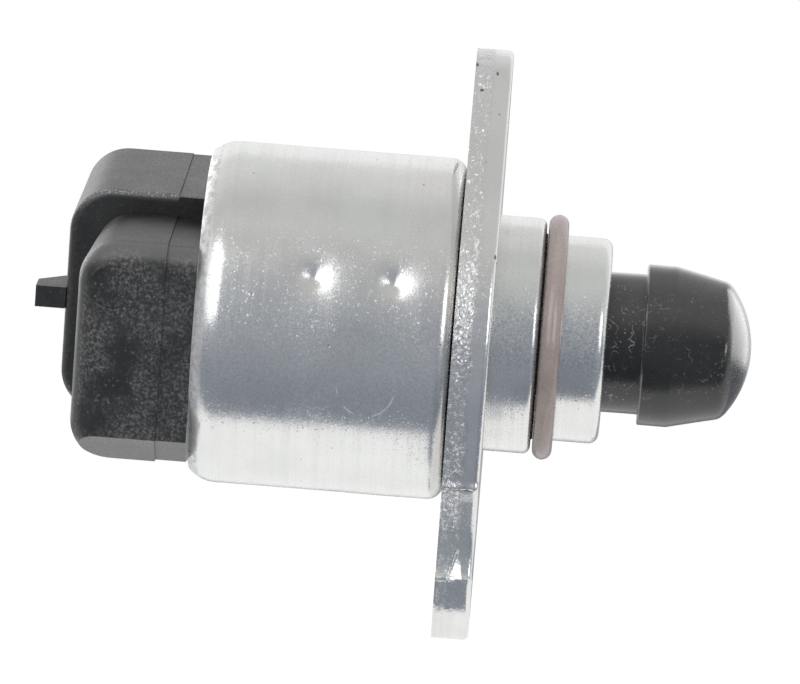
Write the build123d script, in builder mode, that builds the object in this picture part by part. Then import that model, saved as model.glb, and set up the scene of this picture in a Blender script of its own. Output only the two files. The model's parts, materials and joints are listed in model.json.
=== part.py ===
from build123d import *

import os
from math import asin, cos, radians, sin

# Idle air control valve: a can-stack stepper motor that drives a pintle in and out with a screw.
# The axis of the valve is X, with the pintle towards +X, and the long way of the flange is Z.
# The origin is on the axis, on the front face of the flange. Lengths are millimetres.

# Fits
press_clearance = 0.02
slide_clearance = 0.06
skirt_clearance = 0.3
running_gap = 0.35

# Motor can
can_diameter = 31.6
can_wall = 0.9
can_front_bend = 1.2
can_rear_bend = 1.8
can_lip_width = 2.5
dent_ball_radius = 4.6
dent_margin = 0.13
dent_rim_round = 1.6
dent_elevation = 13.7

# Mounting flange
flange_thickness = 3.4
flange_die_roll = 0.5
flange_margin = 0.7
ear_radius = 6.2
upper_hole_height = 19.9
lower_hole_drop = 22.3
bolt_hole_diameter = 5.5
scallop_radius = 9.5
scallop_web = 6.0
scallop_rise = 0.4

# Nose hub and its O-ring
nose_diameter = 19.0
nose_length = 6.2
nose_round = 0.9
shoulder_height = 1.4
pilot_length = 4.3
pilot_round = 0.45
spigot_step = 1.0
stake_width = 1.2
stake_thickness = 0.4
o_ring_section = 1.85
o_ring_gap = 0.18

# Pintle and its travel from the position in which it is modelled
skirt_diameter = 13.0
skirt_wall = 1.1
skirt_engagement = 4.4
collar_gap = 3.4
collar_diameter = 14.9
collar_length = 2.7
cone_length = 4.95
cone_end_diameter = 12.64
cone_end_round = 0.35
dome_height = 2.4
skirt_floor_depth = 0.7
retract_travel = 3.0
extend_travel = 4.0

# Lead screw
screw_diameter = 5.0
screw_flat_width = 4.0
screw_tail = 3.1
stem_diameter = 4.0
stem_length = 3.4
flat_margin = 0.3

# Screw guide and spring
guide_thickness = 2.6
guide_relief = 0.5
guide_relief_diameter = 13.2
guide_boss_diameter = 7.0
guide_boss_length = 1.4
spring_wire = 0.6
spring_mean_diameter = 8.6
spring_turns = 6

# Front bearing
bearing_bore = 8.0
bearing_diameter = 16.0
bearing_width = 3.6
ball_diameter = 2.3
ball_count = 9
race_land = 1.0
race_groove_clearance = 0.05
cage_thickness = 0.8
cage_side = 0.4
pocket_clearance = 0.07

# Rotor
magnet_diameter = 16.0
magnet_bore = 10.0
magnet_front_gap = 0.7
magnet_rear_gap = 0.8
rotor_shoulder_diameter = 9.4
thread_front_setback = 2.6
thread_rear_setback = 1.7
nut_clearance_bore = 5.6
journal_diameter = 7.2
journal_length = 2.7

# Rear bush and bowed washer
bush_diameter = 10.4
bush_length = 2.5
washer_thickness = 0.2
washer_bow = 0.3
washer_end_play = 0.1
washer_bore_clearance = 0.15
washer_rim = 0.1

# Stators
stator_length = 7.4
pole_sheet = 0.8
cup_wall = 0.9
claw_count = 6
claw_root_width = 3.3
claw_tip_width = 1.9
claw_tip_gap = 0.6
bobbin_wall = 0.6
bobbin_clearance = 0.1
coil_margin = 0.3
stack_clearance = 0.05

# End cap, inside the can
cap_disc_thickness = 3.0
cap_skirt_length = 3.0
cap_skirt_wall = 2.1
cap_boss_wall = 1.7
screw_pocket_diameter = 6.2
screw_pocket_margin = 1.0
seal_section = 1.2
seal_groove_width = 1.5
seal_squeeze = 0.03

# Connector, with its mating direction turned up from +Y
connector_turn = 13.0
connector_length = 13.2
base_length = 3.3
base_inset = 0.18
hood_width = 21.2
hood_depth = 20.5
hood_corner = 4.0
hood_edge_round = 0.7
hood_wall = 1.4
socket_front_wall = 0.8
socket_depth = 16.0
socket_corner = 1.4
back_top = 8.65
back_bottom = 12.0
back_depth = 14.0
back_setback = 2.5
back_corner = 3.8
back_round = 2.2
back_bevel_depth = 3.0
back_bevel_height = 2.65
dial_diameter = 4.0
dial_recess = 0.25
dial_height = 4.6
dial_setback = 3.2
lock_height = 2.8
lock_width = 2.0
lock_start = 0.3
lock_tip_length = 2.8
lock_root_length = 5.5

# Terminals
terminal_count = 4
terminal_pitch = 3.7
terminal_width = 1.5
terminal_thickness = 0.8
terminal_bevel = 0.25
blade_length = 7.0
blade_offset = 3.7
tail_offset = 8.5
tail_reach = 2.0

# Stations along the axis
can_front = -flange_thickness
can_inside = can_front - can_wall
stack_front = can_inside - stake_thickness
stack_middle = stack_front - stator_length
stack_rear = stack_middle - stator_length
cap_disc_front = stack_rear - cap_skirt_length
cap_seat = cap_disc_front - cap_disc_thickness
can_rear = cap_seat - can_wall
pilot_end = pilot_length
nose_end = pilot_end + nose_length
bearing_rear = stack_front + press_clearance
bearing_front = bearing_rear + bearing_width
bearing_centre = (bearing_front + bearing_rear) / 2
guide_rear = bearing_front
guide_front = guide_rear + guide_thickness
guide_boss_end = guide_front + guide_boss_length
collar_rear = nose_end + collar_gap
collar_front = collar_rear + collar_length
cone_end = collar_front + cone_length
pintle_tip = cone_end + dome_height
skirt_end = nose_end - skirt_engagement
skirt_floor = collar_rear + skirt_floor_depth
magnet_front = stack_front - magnet_front_gap
magnet_rear = stack_rear + magnet_rear_gap
thread_front = magnet_front - thread_front_setback
thread_rear = magnet_rear + thread_rear_setback
journal_end = magnet_rear - journal_length
bush_front = magnet_rear - washer_end_play - washer_bow - washer_thickness
bush_rear = bush_front - bush_length
screw_end = thread_rear - screw_tail
flats_rear = guide_rear - extend_travel - flat_margin
flats_front = guide_boss_end + retract_travel + flat_margin
screw_pocket_end = screw_end - retract_travel - screw_pocket_margin
step_plane = can_rear - base_length
hood_rear = can_rear - connector_length
back_rear = hood_rear + back_setback

# Radii
can_radius = can_diameter / 2
can_bore_radius = can_radius - can_wall
can_lip_radius = can_radius - can_lip_width
flange_middle_radius = can_radius + flange_margin
nose_radius = nose_diameter / 2
pilot_radius = nose_radius + shoulder_height
spigot_radius = pilot_radius - spigot_step
seat_radius = bearing_diameter / 2 + press_clearance
skirt_radius = skirt_diameter / 2
screw_radius = screw_diameter / 2
magnet_radius = magnet_diameter / 2
claw_inner = magnet_radius + running_gap
claw_outer = claw_inner + pole_sheet
bobbin_bore = claw_outer + bobbin_clearance
bobbin_hub = bobbin_bore + bobbin_wall
stack_radius = can_bore_radius - stack_clearance
cup_bore = stack_radius - cup_wall
bobbin_rim = cup_bore - bobbin_clearance
pitch_radius = (bearing_bore + bearing_diameter) / 4
bush_radius = bush_diameter / 2
journal_radius = journal_diameter / 2

# Directions: the connector's mating direction and the row of its blades, and the pair of dents
turn = radians(connector_turn)
mating = Vector(0, cos(turn), sin(turn))
row = Vector(0, -sin(turn), cos(turn))
back_plane = Plane(origin=(0, 0, 0), x_dir=(1, 0, 0), z_dir=-mating)
side_plane = Plane(origin=(0, 0, 0), x_dir=(1, 0, 0), z_dir=row)
section_plane = Plane(origin=(can_rear, 0, 0), x_dir=-mating, z_dir=(-1, 0, 0))
dent_angle = radians(dent_elevation)
dent_directions = [Vector(0, -cos(dent_angle), sin(dent_angle)), Vector(0, cos(dent_angle), -sin(dent_angle))]
dent_stations = [stack_front - stator_length / 2, stack_middle - stator_length / 2]
dent_window = stator_length / 2 - pole_sheet - dent_margin
dent_depth = dent_window**2 / (2 * (dent_ball_radius + can_wall))


def turned(*corners):
    """A piece turned about the axis, from the (station, radius) corners of its half section."""
    with BuildPart() as piece:
        with BuildSketch():
            with BuildLine():
                Polyline(*corners, close=True)
            make_face()
        revolve(axis=Axis.X)
    return piece


def ring(rear, front, inner, outer):
    """A plain ring about the axis."""
    return turned((rear, inner), (front, inner), (front, outer), (rear, outer))


def cross_plane(station):
    """The plane across the axis at a station, with Y to its right and Z up."""
    return Plane.YZ.offset(station)


def radial_plane(station, direction, distance):
    """A plane square to a radial direction, at a distance from the axis."""
    return Plane(origin=Vector(station, 0, 0) + direction * distance, x_dir=(1, 0, 0), z_dir=direction)


def write(piece, name):
    """Label a finished piece and write its file."""
    piece.part.label = name
    export_step(piece.part, f"parts/{name}.step")


os.makedirs("parts", exist_ok=True)

# Motor can: a drawn cup with its mouth rolled in behind the end cap, and two pairs of round dents
dent_caps = []
dent_centres = []
for station in dent_stations:
    for direction in dent_directions:
        centre = Vector(station, 0, 0) + direction * (can_radius - dent_depth + dent_ball_radius)
        with BuildPart() as dent_cap:
            with BuildSketch(cross_plane(station)):
                Circle(can_radius - can_wall / 2)
            extrude(amount=stator_length / 2, both=True)
            with Locations(centre):
                Sphere(dent_ball_radius + can_wall, mode=Mode.INTERSECT)
        dent_caps.append(dent_cap.part)
        dent_centres.append(centre)

with BuildPart() as motor_can:
    with BuildSketch() as can_section:
        with BuildLine():
            Polyline(
                (can_front, spigot_radius + press_clearance),
                (can_front, can_radius),
                (can_rear, can_radius),
                (can_rear, can_lip_radius),
                (cap_seat, can_lip_radius),
                (cap_seat, can_bore_radius),
                (can_inside, can_bore_radius),
                (can_inside, spigot_radius + press_clearance),
                close=True,
            )
        make_face()
        outer_corners = can_section.vertices().group_by(Axis.Y)[-1].sort_by(Axis.X)
        fillet(outer_corners[0], can_rear_bend)
        fillet(can_section.vertices().group_by(Axis.Y)[-1].sort_by(Axis.X)[-1], can_front_bend)
    revolve(axis=Axis.X)
    add(dent_caps)
    with Locations(*dent_centres):
        Sphere(dent_ball_radius, mode=Mode.SUBTRACT)
    ball_faces = motor_can.faces().filter_by(GeomType.SPHERE)
    dent_faces = ball_faces.filter_by(lambda face: face.radius < dent_ball_radius + can_wall / 2)
    fillet(dent_faces.edges(), dent_rim_round)
write(motor_can, "motor_can")

# Mounting flange: two ears on a round middle, with one flank scalloped beside the lower ear
with BuildPart() as mounting_flange:
    with BuildSketch(cross_plane(0)):
        with BuildLine():
            CenterArc((0, 0), flange_middle_radius, 0, 360)
            CenterArc((0, upper_hole_height), ear_radius, 0, 360)
            CenterArc((0, -lower_hole_drop), ear_radius, 0, 360)
        make_hull()
        Circle(pilot_radius + press_clearance, mode=Mode.SUBTRACT)
        with Locations((0, upper_hole_height), (0, -lower_hole_drop)):
            Circle(bolt_hole_diameter / 2, mode=Mode.SUBTRACT)
        with Locations((-scallop_web - scallop_radius, scallop_rise - lower_hole_drop)):
            Circle(scallop_radius, mode=Mode.SUBTRACT)
    extrude(amount=-flange_thickness)
    front_face = mounting_flange.faces().sort_by(Axis.X)[-1]
    fillet(front_face.outer_wire().edges(), flange_die_roll)
write(mounting_flange, "mounting_flange")

# Nose hub: pressed through the flange and staked over inside the can, with the bearing's seat in its back
skirt_bore = skirt_radius + skirt_clearance
with BuildPart() as nose_hub:
    with BuildSketch() as hub_section:
        with BuildLine():
            Polyline(
                (stack_front, seat_radius),
                (stack_front, spigot_radius + stake_width),
                (can_inside, spigot_radius + stake_width),
                (can_inside, spigot_radius),
                (can_front, spigot_radius),
                (can_front, pilot_radius),
                (pilot_end, pilot_radius),
                (pilot_end, nose_radius),
                (nose_end, nose_radius),
                (nose_end, skirt_bore),
                (guide_front, skirt_bore),
                (guide_front, seat_radius),
                close=True,
            )
        make_face()
        fillet(hub_section.vertices().sort_by_distance((nose_end, nose_radius))[0], nose_round)
        fillet(hub_section.vertices().sort_by_distance((pilot_end, pilot_radius))[0], pilot_round)
    revolve(axis=Axis.X)
write(nose_hub, "nose_hub")

# O-ring on the nose, just off the shoulder
with BuildPart() as o_ring:
    with BuildSketch():
        with Locations((pilot_end + o_ring_gap + o_ring_section / 2, nose_radius + o_ring_section / 2)):
            Circle(o_ring_section / 2)
    revolve(axis=Axis.X)
write(o_ring, "o_ring")

# Pintle: a hollow skirt that slides in the nose, then the collar, the cone and the domed end
cone_end_radius = cone_end_diameter / 2
dome_radius = (cone_end_radius**2 + dome_height**2) / (2 * dome_height)
dome_middle = asin(cone_end_radius / dome_radius) / 2
dome_centre = pintle_tip - dome_radius
stem_end = skirt_floor + stem_length
with BuildPart() as pintle:
    with BuildSketch() as pintle_section:
        with BuildLine():
            outline = Polyline(
                (pintle_tip, 0),
                (stem_end, 0),
                (stem_end, stem_diameter / 2),
                (skirt_floor, stem_diameter / 2),
                (skirt_floor, skirt_radius - skirt_wall),
                (skirt_end, skirt_radius - skirt_wall),
                (skirt_end, skirt_radius),
                (collar_rear, skirt_radius),
                (collar_rear, collar_diameter / 2),
                (collar_front, collar_diameter / 2),
                (cone_end, cone_end_radius),
            )
            dome_point = (dome_centre + dome_radius * cos(dome_middle), dome_radius * sin(dome_middle))
            ThreePointArc(outline @ 1, dome_point, outline @ 0)
        make_face()
        fillet(pintle_section.vertices().sort_by_distance((cone_end, cone_end_radius))[0], cone_end_round)
    revolve(axis=Axis.X)
write(pintle, "pintle")

# Lead screw: its flats pass through the guide, its stem is fixed in the pintle
with BuildPart() as lead_screw:
    with BuildSketch():
        with BuildLine():
            Polyline(
                (screw_end, 0),
                (stem_end, 0),
                (stem_end, stem_diameter / 2 - press_clearance),
                (skirt_floor, stem_diameter / 2 - press_clearance),
                (skirt_floor, screw_radius),
                (screw_end, screw_radius),
                close=True,
            )
        make_face()
    revolve(axis=Axis.X)
    with BuildSketch(cross_plane(flats_rear)):
        Circle(screw_diameter)
        Rectangle(2 * screw_diameter, screw_flat_width, mode=Mode.SUBTRACT)
    extrude(amount=flats_front - flats_rear, mode=Mode.SUBTRACT)
write(lead_screw, "lead_screw")

# Screw guide: pressed into the hub behind the skirt, relieved behind so that the inner race runs free
guide_rim = seat_radius - press_clearance
relief_radius = guide_relief_diameter / 2
boss_radius = guide_boss_diameter / 2
with BuildPart() as screw_guide:
    with BuildSketch():
        with BuildLine():
            Polyline(
                (guide_rear + guide_relief, 0),
                (guide_rear + guide_relief, relief_radius),
                (guide_rear, relief_radius),
                (guide_rear, guide_rim),
                (guide_front, guide_rim),
                (guide_front, boss_radius),
                (guide_boss_end, boss_radius),
                (guide_boss_end, 0),
                close=True,
            )
        make_face()
    revolve(axis=Axis.X)
    with BuildSketch(cross_plane(guide_rear)):
        Circle(screw_radius + slide_clearance)
        Rectangle(2 * screw_diameter, screw_flat_width + 2 * slide_clearance, mode=Mode.INTERSECT)
    extrude(amount=guide_boss_end - guide_rear, mode=Mode.SUBTRACT)
write(screw_guide, "screw_guide")

# Spring between the guide and the floor of the skirt
spring_height = skirt_floor - guide_front - spring_wire - 2 * press_clearance
spring_start = guide_front + spring_wire / 2 + press_clearance
with BuildPart() as pintle_spring:
    with BuildLine() as spring_line:
        Helix(
            spring_height / spring_turns,
            spring_height,
            spring_mean_diameter / 2,
            center=(spring_start, 0, 0),
            direction=(1, 0, 0),
        )
    with BuildSketch(Plane(origin=spring_line.line @ 0, z_dir=spring_line.line % 0)):
        Circle(spring_wire / 2)
    sweep()
write(pintle_spring, "pintle_spring")

# Front bearing: two grooved races, the balls and their cage
groove_radius = ball_diameter / 2 + race_groove_clearance
bearing_bore_radius = bearing_bore / 2
with BuildPart() as bearing_outer_race:
    with BuildSketch():
        with Locations((bearing_centre, bearing_diameter / 2 - race_land / 2)):
            Rectangle(bearing_width, race_land)
        with Locations((bearing_centre, pitch_radius)):
            Circle(groove_radius, mode=Mode.SUBTRACT)
    revolve(axis=Axis.X)
write(bearing_outer_race, "bearing_outer_race")

with BuildPart() as bearing_inner_race:
    with BuildSketch():
        with Locations((bearing_centre, bearing_bore_radius + race_land / 2)):
            Rectangle(bearing_width, race_land)
        with Locations((bearing_centre, pitch_radius)):
            Circle(groove_radius, mode=Mode.SUBTRACT)
    revolve(axis=Axis.X)
write(bearing_inner_race, "bearing_inner_race")

with BuildPart() as bearing_balls:
    with Locations(cross_plane(bearing_centre)):
        with PolarLocations(pitch_radius, ball_count):
            Sphere(ball_diameter / 2)
write(bearing_balls, "bearing_balls")

cage_half = ball_diameter / 2 + cage_side
with BuildPart() as bearing_cage:
    with BuildSketch():
        with Locations((bearing_centre, pitch_radius)):
            Rectangle(2 * cage_half, cage_thickness)
    revolve(axis=Axis.X)
    for number in range(ball_count):
        angle = radians(360 * number / ball_count)
        direction = Vector(0, cos(angle), sin(angle))
        with BuildSketch(radial_plane(bearing_centre, direction, pitch_radius - cage_thickness)):
            Circle(ball_diameter / 2 + pocket_clearance)
        extrude(amount=2 * cage_thickness, mode=Mode.SUBTRACT)
write(bearing_cage, "bearing_cage")

# Rotor: a moulded nut that carries the magnet, with a journal at each end
magnet_bore_radius = magnet_bore / 2
nut_bore = screw_radius + slide_clearance
clear_bore = nut_clearance_bore / 2
rotor_nut = turned(
    (bearing_front, clear_bore),
    (bearing_front, bearing_bore_radius - press_clearance),
    (bearing_rear, bearing_bore_radius - press_clearance),
    (bearing_rear, rotor_shoulder_diameter / 2),
    (magnet_front, rotor_shoulder_diameter / 2),
    (magnet_front, magnet_bore_radius - press_clearance),
    (magnet_rear, magnet_bore_radius - press_clearance),
    (magnet_rear, journal_radius),
    (journal_end, journal_radius),
    (journal_end, clear_bore),
    (thread_rear, clear_bore),
    (thread_rear, nut_bore),
    (thread_front, nut_bore),
    (thread_front, clear_bore),
)
write(rotor_nut, "rotor_nut")

rotor_magnet = ring(magnet_rear, magnet_front, magnet_bore_radius, magnet_radius)
write(rotor_magnet, "rotor_magnet")

# Rear bush in the end cap, and the bowed washer that pushes the rotor forward
rear_bush = ring(bush_rear, bush_front, journal_radius + slide_clearance, bush_radius)
write(rear_bush, "rear_bush")

washer_outer = magnet_bore_radius - washer_rim
washer_inner = journal_radius + washer_bore_clearance
washer_curve = washer_outer**2 / (2 * washer_bow)
with BuildPart() as bowed_washer:
    with BuildSketch():
        with Locations((bush_front + washer_bow - washer_curve, 0)):
            Circle(washer_curve + washer_thickness)
            Circle(washer_curve, mode=Mode.SUBTRACT)
    extrude(amount=washer_outer, both=True)
    with BuildSketch(cross_plane(bush_front)):
        Circle(washer_outer)
        Circle(washer_inner, mode=Mode.SUBTRACT)
    extrude(amount=washer_bow + washer_thickness, mode=Mode.INTERSECT)
write(bowed_washer, "bowed_washer")


def pole_claws(root, reach, clocking):
    """A sleeve of claws about the rotor: a ring that is slotted wider towards the tips."""
    tip = root + reach
    root_slot = 2 * claw_inner * sin(radians(180 / claw_count)) - claw_root_width
    tip_slot = 2 * claw_inner * sin(radians(180 / claw_count)) - claw_tip_width
    with BuildPart() as claws:
        with BuildSketch(cross_plane(root)):
            Circle(claw_outer)
            Circle(claw_inner, mode=Mode.SUBTRACT)
        extrude(amount=reach)
        for number in range(claw_count):
            angle = radians(clocking + 360 * number / claw_count)
            direction = Vector(0, cos(angle), sin(angle))
            with BuildSketch(radial_plane(0, direction, claw_inner / 2)):
                with BuildLine():
                    Polyline(
                        (root, -root_slot / 2),
                        (root, root_slot / 2),
                        (tip, tip_slot / 2),
                        (tip, -tip_slot / 2),
                        close=True,
                    )
                make_face()
            extrude(amount=claw_outer, mode=Mode.SUBTRACT)
    return claws.part


def pole_piece(face, inward, clocking, cupped):
    """A pole sheet whose flat side is at face, with claws inward (+1 or -1) and a rim if it is a cup."""
    rim_length = stator_length - pole_sheet if cupped else pole_sheet
    claw_reach = stator_length - pole_sheet - claw_tip_gap
    with BuildPart() as piece:
        with BuildSketch(cross_plane(face)):
            Circle(stack_radius)
            Circle(claw_inner, mode=Mode.SUBTRACT)
        extrude(amount=inward * pole_sheet)
        if cupped:
            with BuildSketch(cross_plane(face)):
                Circle(stack_radius)
                Circle(cup_bore, mode=Mode.SUBTRACT)
            extrude(amount=inward * rim_length)
            for direction in dent_directions:
                with BuildSketch(radial_plane(face + inward * stator_length / 2, direction, bobbin_rim)):
                    Circle(dent_window)
                extrude(amount=can_radius - bobbin_rim, mode=Mode.SUBTRACT)
        add(pole_claws(face + inward * pole_sheet, inward * (claw_reach - pole_sheet), clocking))
    return piece


# Stators: each has a cup and a plate whose claws interleave; the rear pair is turned by half a claw
claw_turn = 360 / claw_count
front_pole_cup = pole_piece(stack_front, -1, 0, True)
write(front_pole_cup, "front_pole_cup")
front_pole_plate = pole_piece(stack_middle, 1, claw_turn / 2, False)
write(front_pole_plate, "front_pole_plate")
rear_pole_plate = pole_piece(stack_middle, -1, claw_turn / 4, False)
write(rear_pole_plate, "rear_pole_plate")
rear_pole_cup = pole_piece(stack_rear, 1, claw_turn * 3 / 4, True)
write(rear_pole_cup, "rear_pole_cup")

# Bobbins and their windings, one in each stator
for name, front in (("front", stack_front), ("rear", stack_middle)):
    bobbin_front = front - pole_sheet - press_clearance
    bobbin_rear = front - stator_length + pole_sheet + press_clearance
    bobbin = turned(
        (bobbin_rear, bobbin_bore),
        (bobbin_front, bobbin_bore),
        (bobbin_front, bobbin_rim),
        (bobbin_front - bobbin_wall, bobbin_rim),
        (bobbin_front - bobbin_wall, bobbin_hub),
        (bobbin_rear + bobbin_wall, bobbin_hub),
        (bobbin_rear + bobbin_wall, bobbin_rim),
        (bobbin_rear, bobbin_rim),
    )
    write(bobbin, f"{name}_bobbin")
    coil_rear = bobbin_rear + bobbin_wall
    coil_front = bobbin_front - bobbin_wall
    coil = ring(coil_rear, coil_front, bobbin_hub, bobbin_rim - coil_margin)
    write(coil, f"{name}_coil")

# Terminals: each blade stands in the socket, turns forward in the moulding and ends behind the stator
blade_station = hood_rear + hood_wall + blade_offset
socket_floor = hood_depth - socket_depth
blade_tip = socket_floor + blade_length
tail_end = cap_disc_front + tail_reach
terminals = []
for number in range(terminal_count):
    place = (number - (terminal_count - 1) / 2) * terminal_pitch
    half = terminal_thickness / 2
    with BuildPart() as terminal:
        with BuildSketch(side_plane.offset(place)):
            with BuildLine():
                Polyline(
                    (blade_station - half, blade_tip - terminal_bevel),
                    (blade_station - half + terminal_bevel, blade_tip),
                    (blade_station + half - terminal_bevel, blade_tip),
                    (blade_station + half, blade_tip - terminal_bevel),
                    (blade_station + half, half - tail_offset),
                    (tail_end, half - tail_offset),
                    (tail_end, -half - tail_offset),
                    (blade_station - half, -half - tail_offset),
                    close=True,
                )
            make_face()
        extrude(amount=terminal_width / 2, both=True)
    terminals.append(terminal.part)
    write(terminal, f"terminal_{number + 1}")

# Seal in the edge of the end cap
seal_station = cap_seat + cap_disc_thickness / 2
seal_radius = can_bore_radius - seal_squeeze - seal_section / 2
with BuildPart() as end_cap_seal:
    with BuildSketch():
        with Locations((seal_station, seal_radius)):
            Circle(seal_section / 2)
    revolve(axis=Axis.X)
write(end_cap_seal, "end_cap_seal")

# End cap, the hood: an open-ended shell behind the can, its mouth away from the camera side
hood_middle = (hood_rear + step_plane) / 2
with BuildPart() as hood:
    with BuildSketch(back_plane) as hood_outline:
        with Locations((hood_middle, 0)):
            Rectangle(step_plane - hood_rear, hood_width)
        fillet(hood_outline.vertices().group_by(Axis.X)[0], hood_corner)
    extrude(amount=-hood_depth)
    hood_ends = hood.faces().filter_by(Plane(origin=(0, 0, 0), z_dir=mating))
    fillet(hood_ends.edges() - hood.faces().sort_by(Axis.X)[-1].edges(), hood_edge_round)

# End cap, the closed back: rounded all round its end, with a flat bevel along the bottom
bevel_start = (back_depth - back_bevel_depth, -back_bottom)
bevel_end = (back_depth, back_bevel_height - back_bottom)
with BuildPart() as back:
    with BuildSketch(back_plane) as back_outline:
        with Locations(((back_rear + step_plane) / 2, (back_top - back_bottom) / 2)):
            Rectangle(step_plane - back_rear, back_top + back_bottom)
        fillet(back_outline.vertices().group_by(Axis.X)[0], back_corner)
    extrude(amount=back_depth)
    end_face = back.faces().sort_by(Axis((0, 0, 0), -mating))[-1]
    fillet(end_face.edges() - back.faces().sort_by(Axis.X)[-1].edges(), back_round)
    with BuildSketch(section_plane.offset(base_length)):
        with BuildLine():
            Polyline(bevel_start, bevel_end, (back_depth, -back_bottom), close=True)
        make_face()
    extrude(amount=connector_length, mode=Mode.SUBTRACT)

# End cap, the base between the can and the connector: the same section, a little smaller
with BuildPart() as base:
    with BuildSketch(section_plane):
        with Locations((-(hood_depth - base_inset) / 2, 0)):
            Rectangle(hood_depth - base_inset, hood_width - 2 * base_inset)
        with BuildSketch(mode=Mode.PRIVATE) as back_section:
            with BuildLine():
                Polyline(
                    (0, base_inset - back_bottom),
                    (bevel_start[0], base_inset - back_bottom),
                    (back_depth - base_inset, bevel_end[1]),
                    (back_depth - base_inset, back_top - base_inset),
                    (0, back_top - base_inset),
                    close=True,
                )
            make_face()
            fillet(back_section.vertices().sort_by_distance((back_depth, back_top))[0], back_round)
        add(back_section.sketch)
    extrude(amount=base_length)

# End cap: the disc and skirt in the can, the base behind it, then the hood, the back, the lock and the cuts
disc_radius = can_bore_radius - stack_clearance
groove_depth = seal_radius - seal_section / 2 - seal_squeeze
neck_radius = can_lip_radius - stack_clearance
with BuildPart() as end_cap:
    add(hood.part)
    add(back.part)
    add(base.part)
    with BuildSketch():
        with BuildLine():
            Polyline(
                (can_rear, 0),
                (can_rear, neck_radius),
                (cap_seat, neck_radius),
                (cap_seat, disc_radius),
                (seal_station - seal_groove_width / 2, disc_radius),
                (seal_station - seal_groove_width / 2, groove_depth),
                (seal_station + seal_groove_width / 2, groove_depth),
                (seal_station + seal_groove_width / 2, disc_radius),
                (stack_rear, disc_radius),
                (stack_rear, disc_radius - cap_skirt_wall),
                (cap_disc_front, disc_radius - cap_skirt_wall),
                (cap_disc_front, bush_radius + cap_boss_wall),
                (bush_front, bush_radius + cap_boss_wall),
                (bush_front, bush_radius + press_clearance),
                (bush_rear, bush_radius + press_clearance),
                (bush_rear, screw_pocket_diameter / 2),
                (screw_pocket_end, screw_pocket_diameter / 2),
                (screw_pocket_end, 0),
                close=True,
            )
        make_face()
    revolve(axis=Axis.X)
    with BuildSketch(side_plane):
        with BuildLine():
            Polyline(
                (hood_rear, lock_start),
                (hood_rear - lock_height, lock_start),
                (hood_rear - lock_height, lock_start + lock_tip_length),
                (hood_rear, lock_start + lock_root_length),
                close=True,
            )
        make_face()
    extrude(amount=lock_width / 2, both=True)
    with BuildSketch(back_plane.offset(-hood_depth)) as socket_outline:
        socket_rear = hood_rear + hood_wall
        socket_front = step_plane - socket_front_wall
        with Locations(((socket_rear + socket_front) / 2, 0)):
            Rectangle(socket_front - socket_rear, hood_width - 2 * hood_wall)
        fillet(socket_outline.vertices().group_by(Axis.X)[0], hood_corner - hood_wall)
        fillet(socket_outline.vertices().group_by(Axis.X)[-1], socket_corner)
    extrude(amount=socket_depth, mode=Mode.SUBTRACT)
    with BuildSketch(back_plane.offset(back_depth)):
        with Locations((back_rear + dial_setback, dial_height)):
            Circle(dial_diameter / 2)
    extrude(amount=-dial_recess, mode=Mode.SUBTRACT)
    add(terminals, mode=Mode.SUBTRACT)
write(end_cap, "end_cap")
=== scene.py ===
# %% [markdown]
# # Idle air control valve
# The solids of the valve come packed from the CAD source. This lesson dresses them: it puts numpy-made
# surfaces where the light would show facets, gives every piece a finish made of nodes, and sets a small
# white studio around the valve with the camera where the photograph was taken.

# %% Load the solids
import json

import bmesh
import bpy
import numpy as np
from mathutils import Matrix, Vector
from mathutils.geometry import delaunay_2d_cdt


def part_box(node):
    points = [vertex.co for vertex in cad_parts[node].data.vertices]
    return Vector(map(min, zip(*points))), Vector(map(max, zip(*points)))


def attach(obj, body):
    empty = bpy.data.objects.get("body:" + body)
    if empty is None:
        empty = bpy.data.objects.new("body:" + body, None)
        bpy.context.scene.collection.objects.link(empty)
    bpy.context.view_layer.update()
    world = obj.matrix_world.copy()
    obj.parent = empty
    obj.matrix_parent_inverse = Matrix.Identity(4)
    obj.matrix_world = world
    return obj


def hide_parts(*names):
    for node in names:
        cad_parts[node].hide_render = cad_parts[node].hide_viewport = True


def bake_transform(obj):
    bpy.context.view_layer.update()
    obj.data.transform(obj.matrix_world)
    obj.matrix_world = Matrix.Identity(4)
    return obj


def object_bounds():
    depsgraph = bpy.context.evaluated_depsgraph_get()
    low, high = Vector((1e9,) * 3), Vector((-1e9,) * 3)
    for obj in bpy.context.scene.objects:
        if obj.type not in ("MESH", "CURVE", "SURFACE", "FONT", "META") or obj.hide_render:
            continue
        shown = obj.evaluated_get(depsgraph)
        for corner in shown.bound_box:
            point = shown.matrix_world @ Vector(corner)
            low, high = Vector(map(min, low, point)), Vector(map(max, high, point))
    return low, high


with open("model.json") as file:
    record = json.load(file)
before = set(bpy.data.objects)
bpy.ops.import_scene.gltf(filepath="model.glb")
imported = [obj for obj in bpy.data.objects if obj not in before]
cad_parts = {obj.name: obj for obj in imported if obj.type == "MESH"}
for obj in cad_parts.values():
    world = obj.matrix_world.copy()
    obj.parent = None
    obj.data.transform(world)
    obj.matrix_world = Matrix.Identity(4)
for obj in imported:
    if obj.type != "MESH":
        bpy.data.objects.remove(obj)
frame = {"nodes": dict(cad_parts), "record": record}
cad_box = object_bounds()
MM = 0.001

# %% [markdown]
# ## Camera
# The photograph looks square at the side of the valve, from about 0.6 m with a long lens, and the camera
# was rolled a little, so the axis runs down to the right. The angles were found by fitting the outlines of
# the turned parts. The lens is given for a picture 800 pixels wide.

# %% Camera
FOCAL_PIXELS, PICTURE_WIDTH, SENSOR_WIDTH = 6495.6, 800, 36.0
YAW, ROLL_TO_RIGHT = -0.01903, 0.07928
CAMERA_PLACE = np.array([3.0, -599.89, -1.54]) * MM


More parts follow.
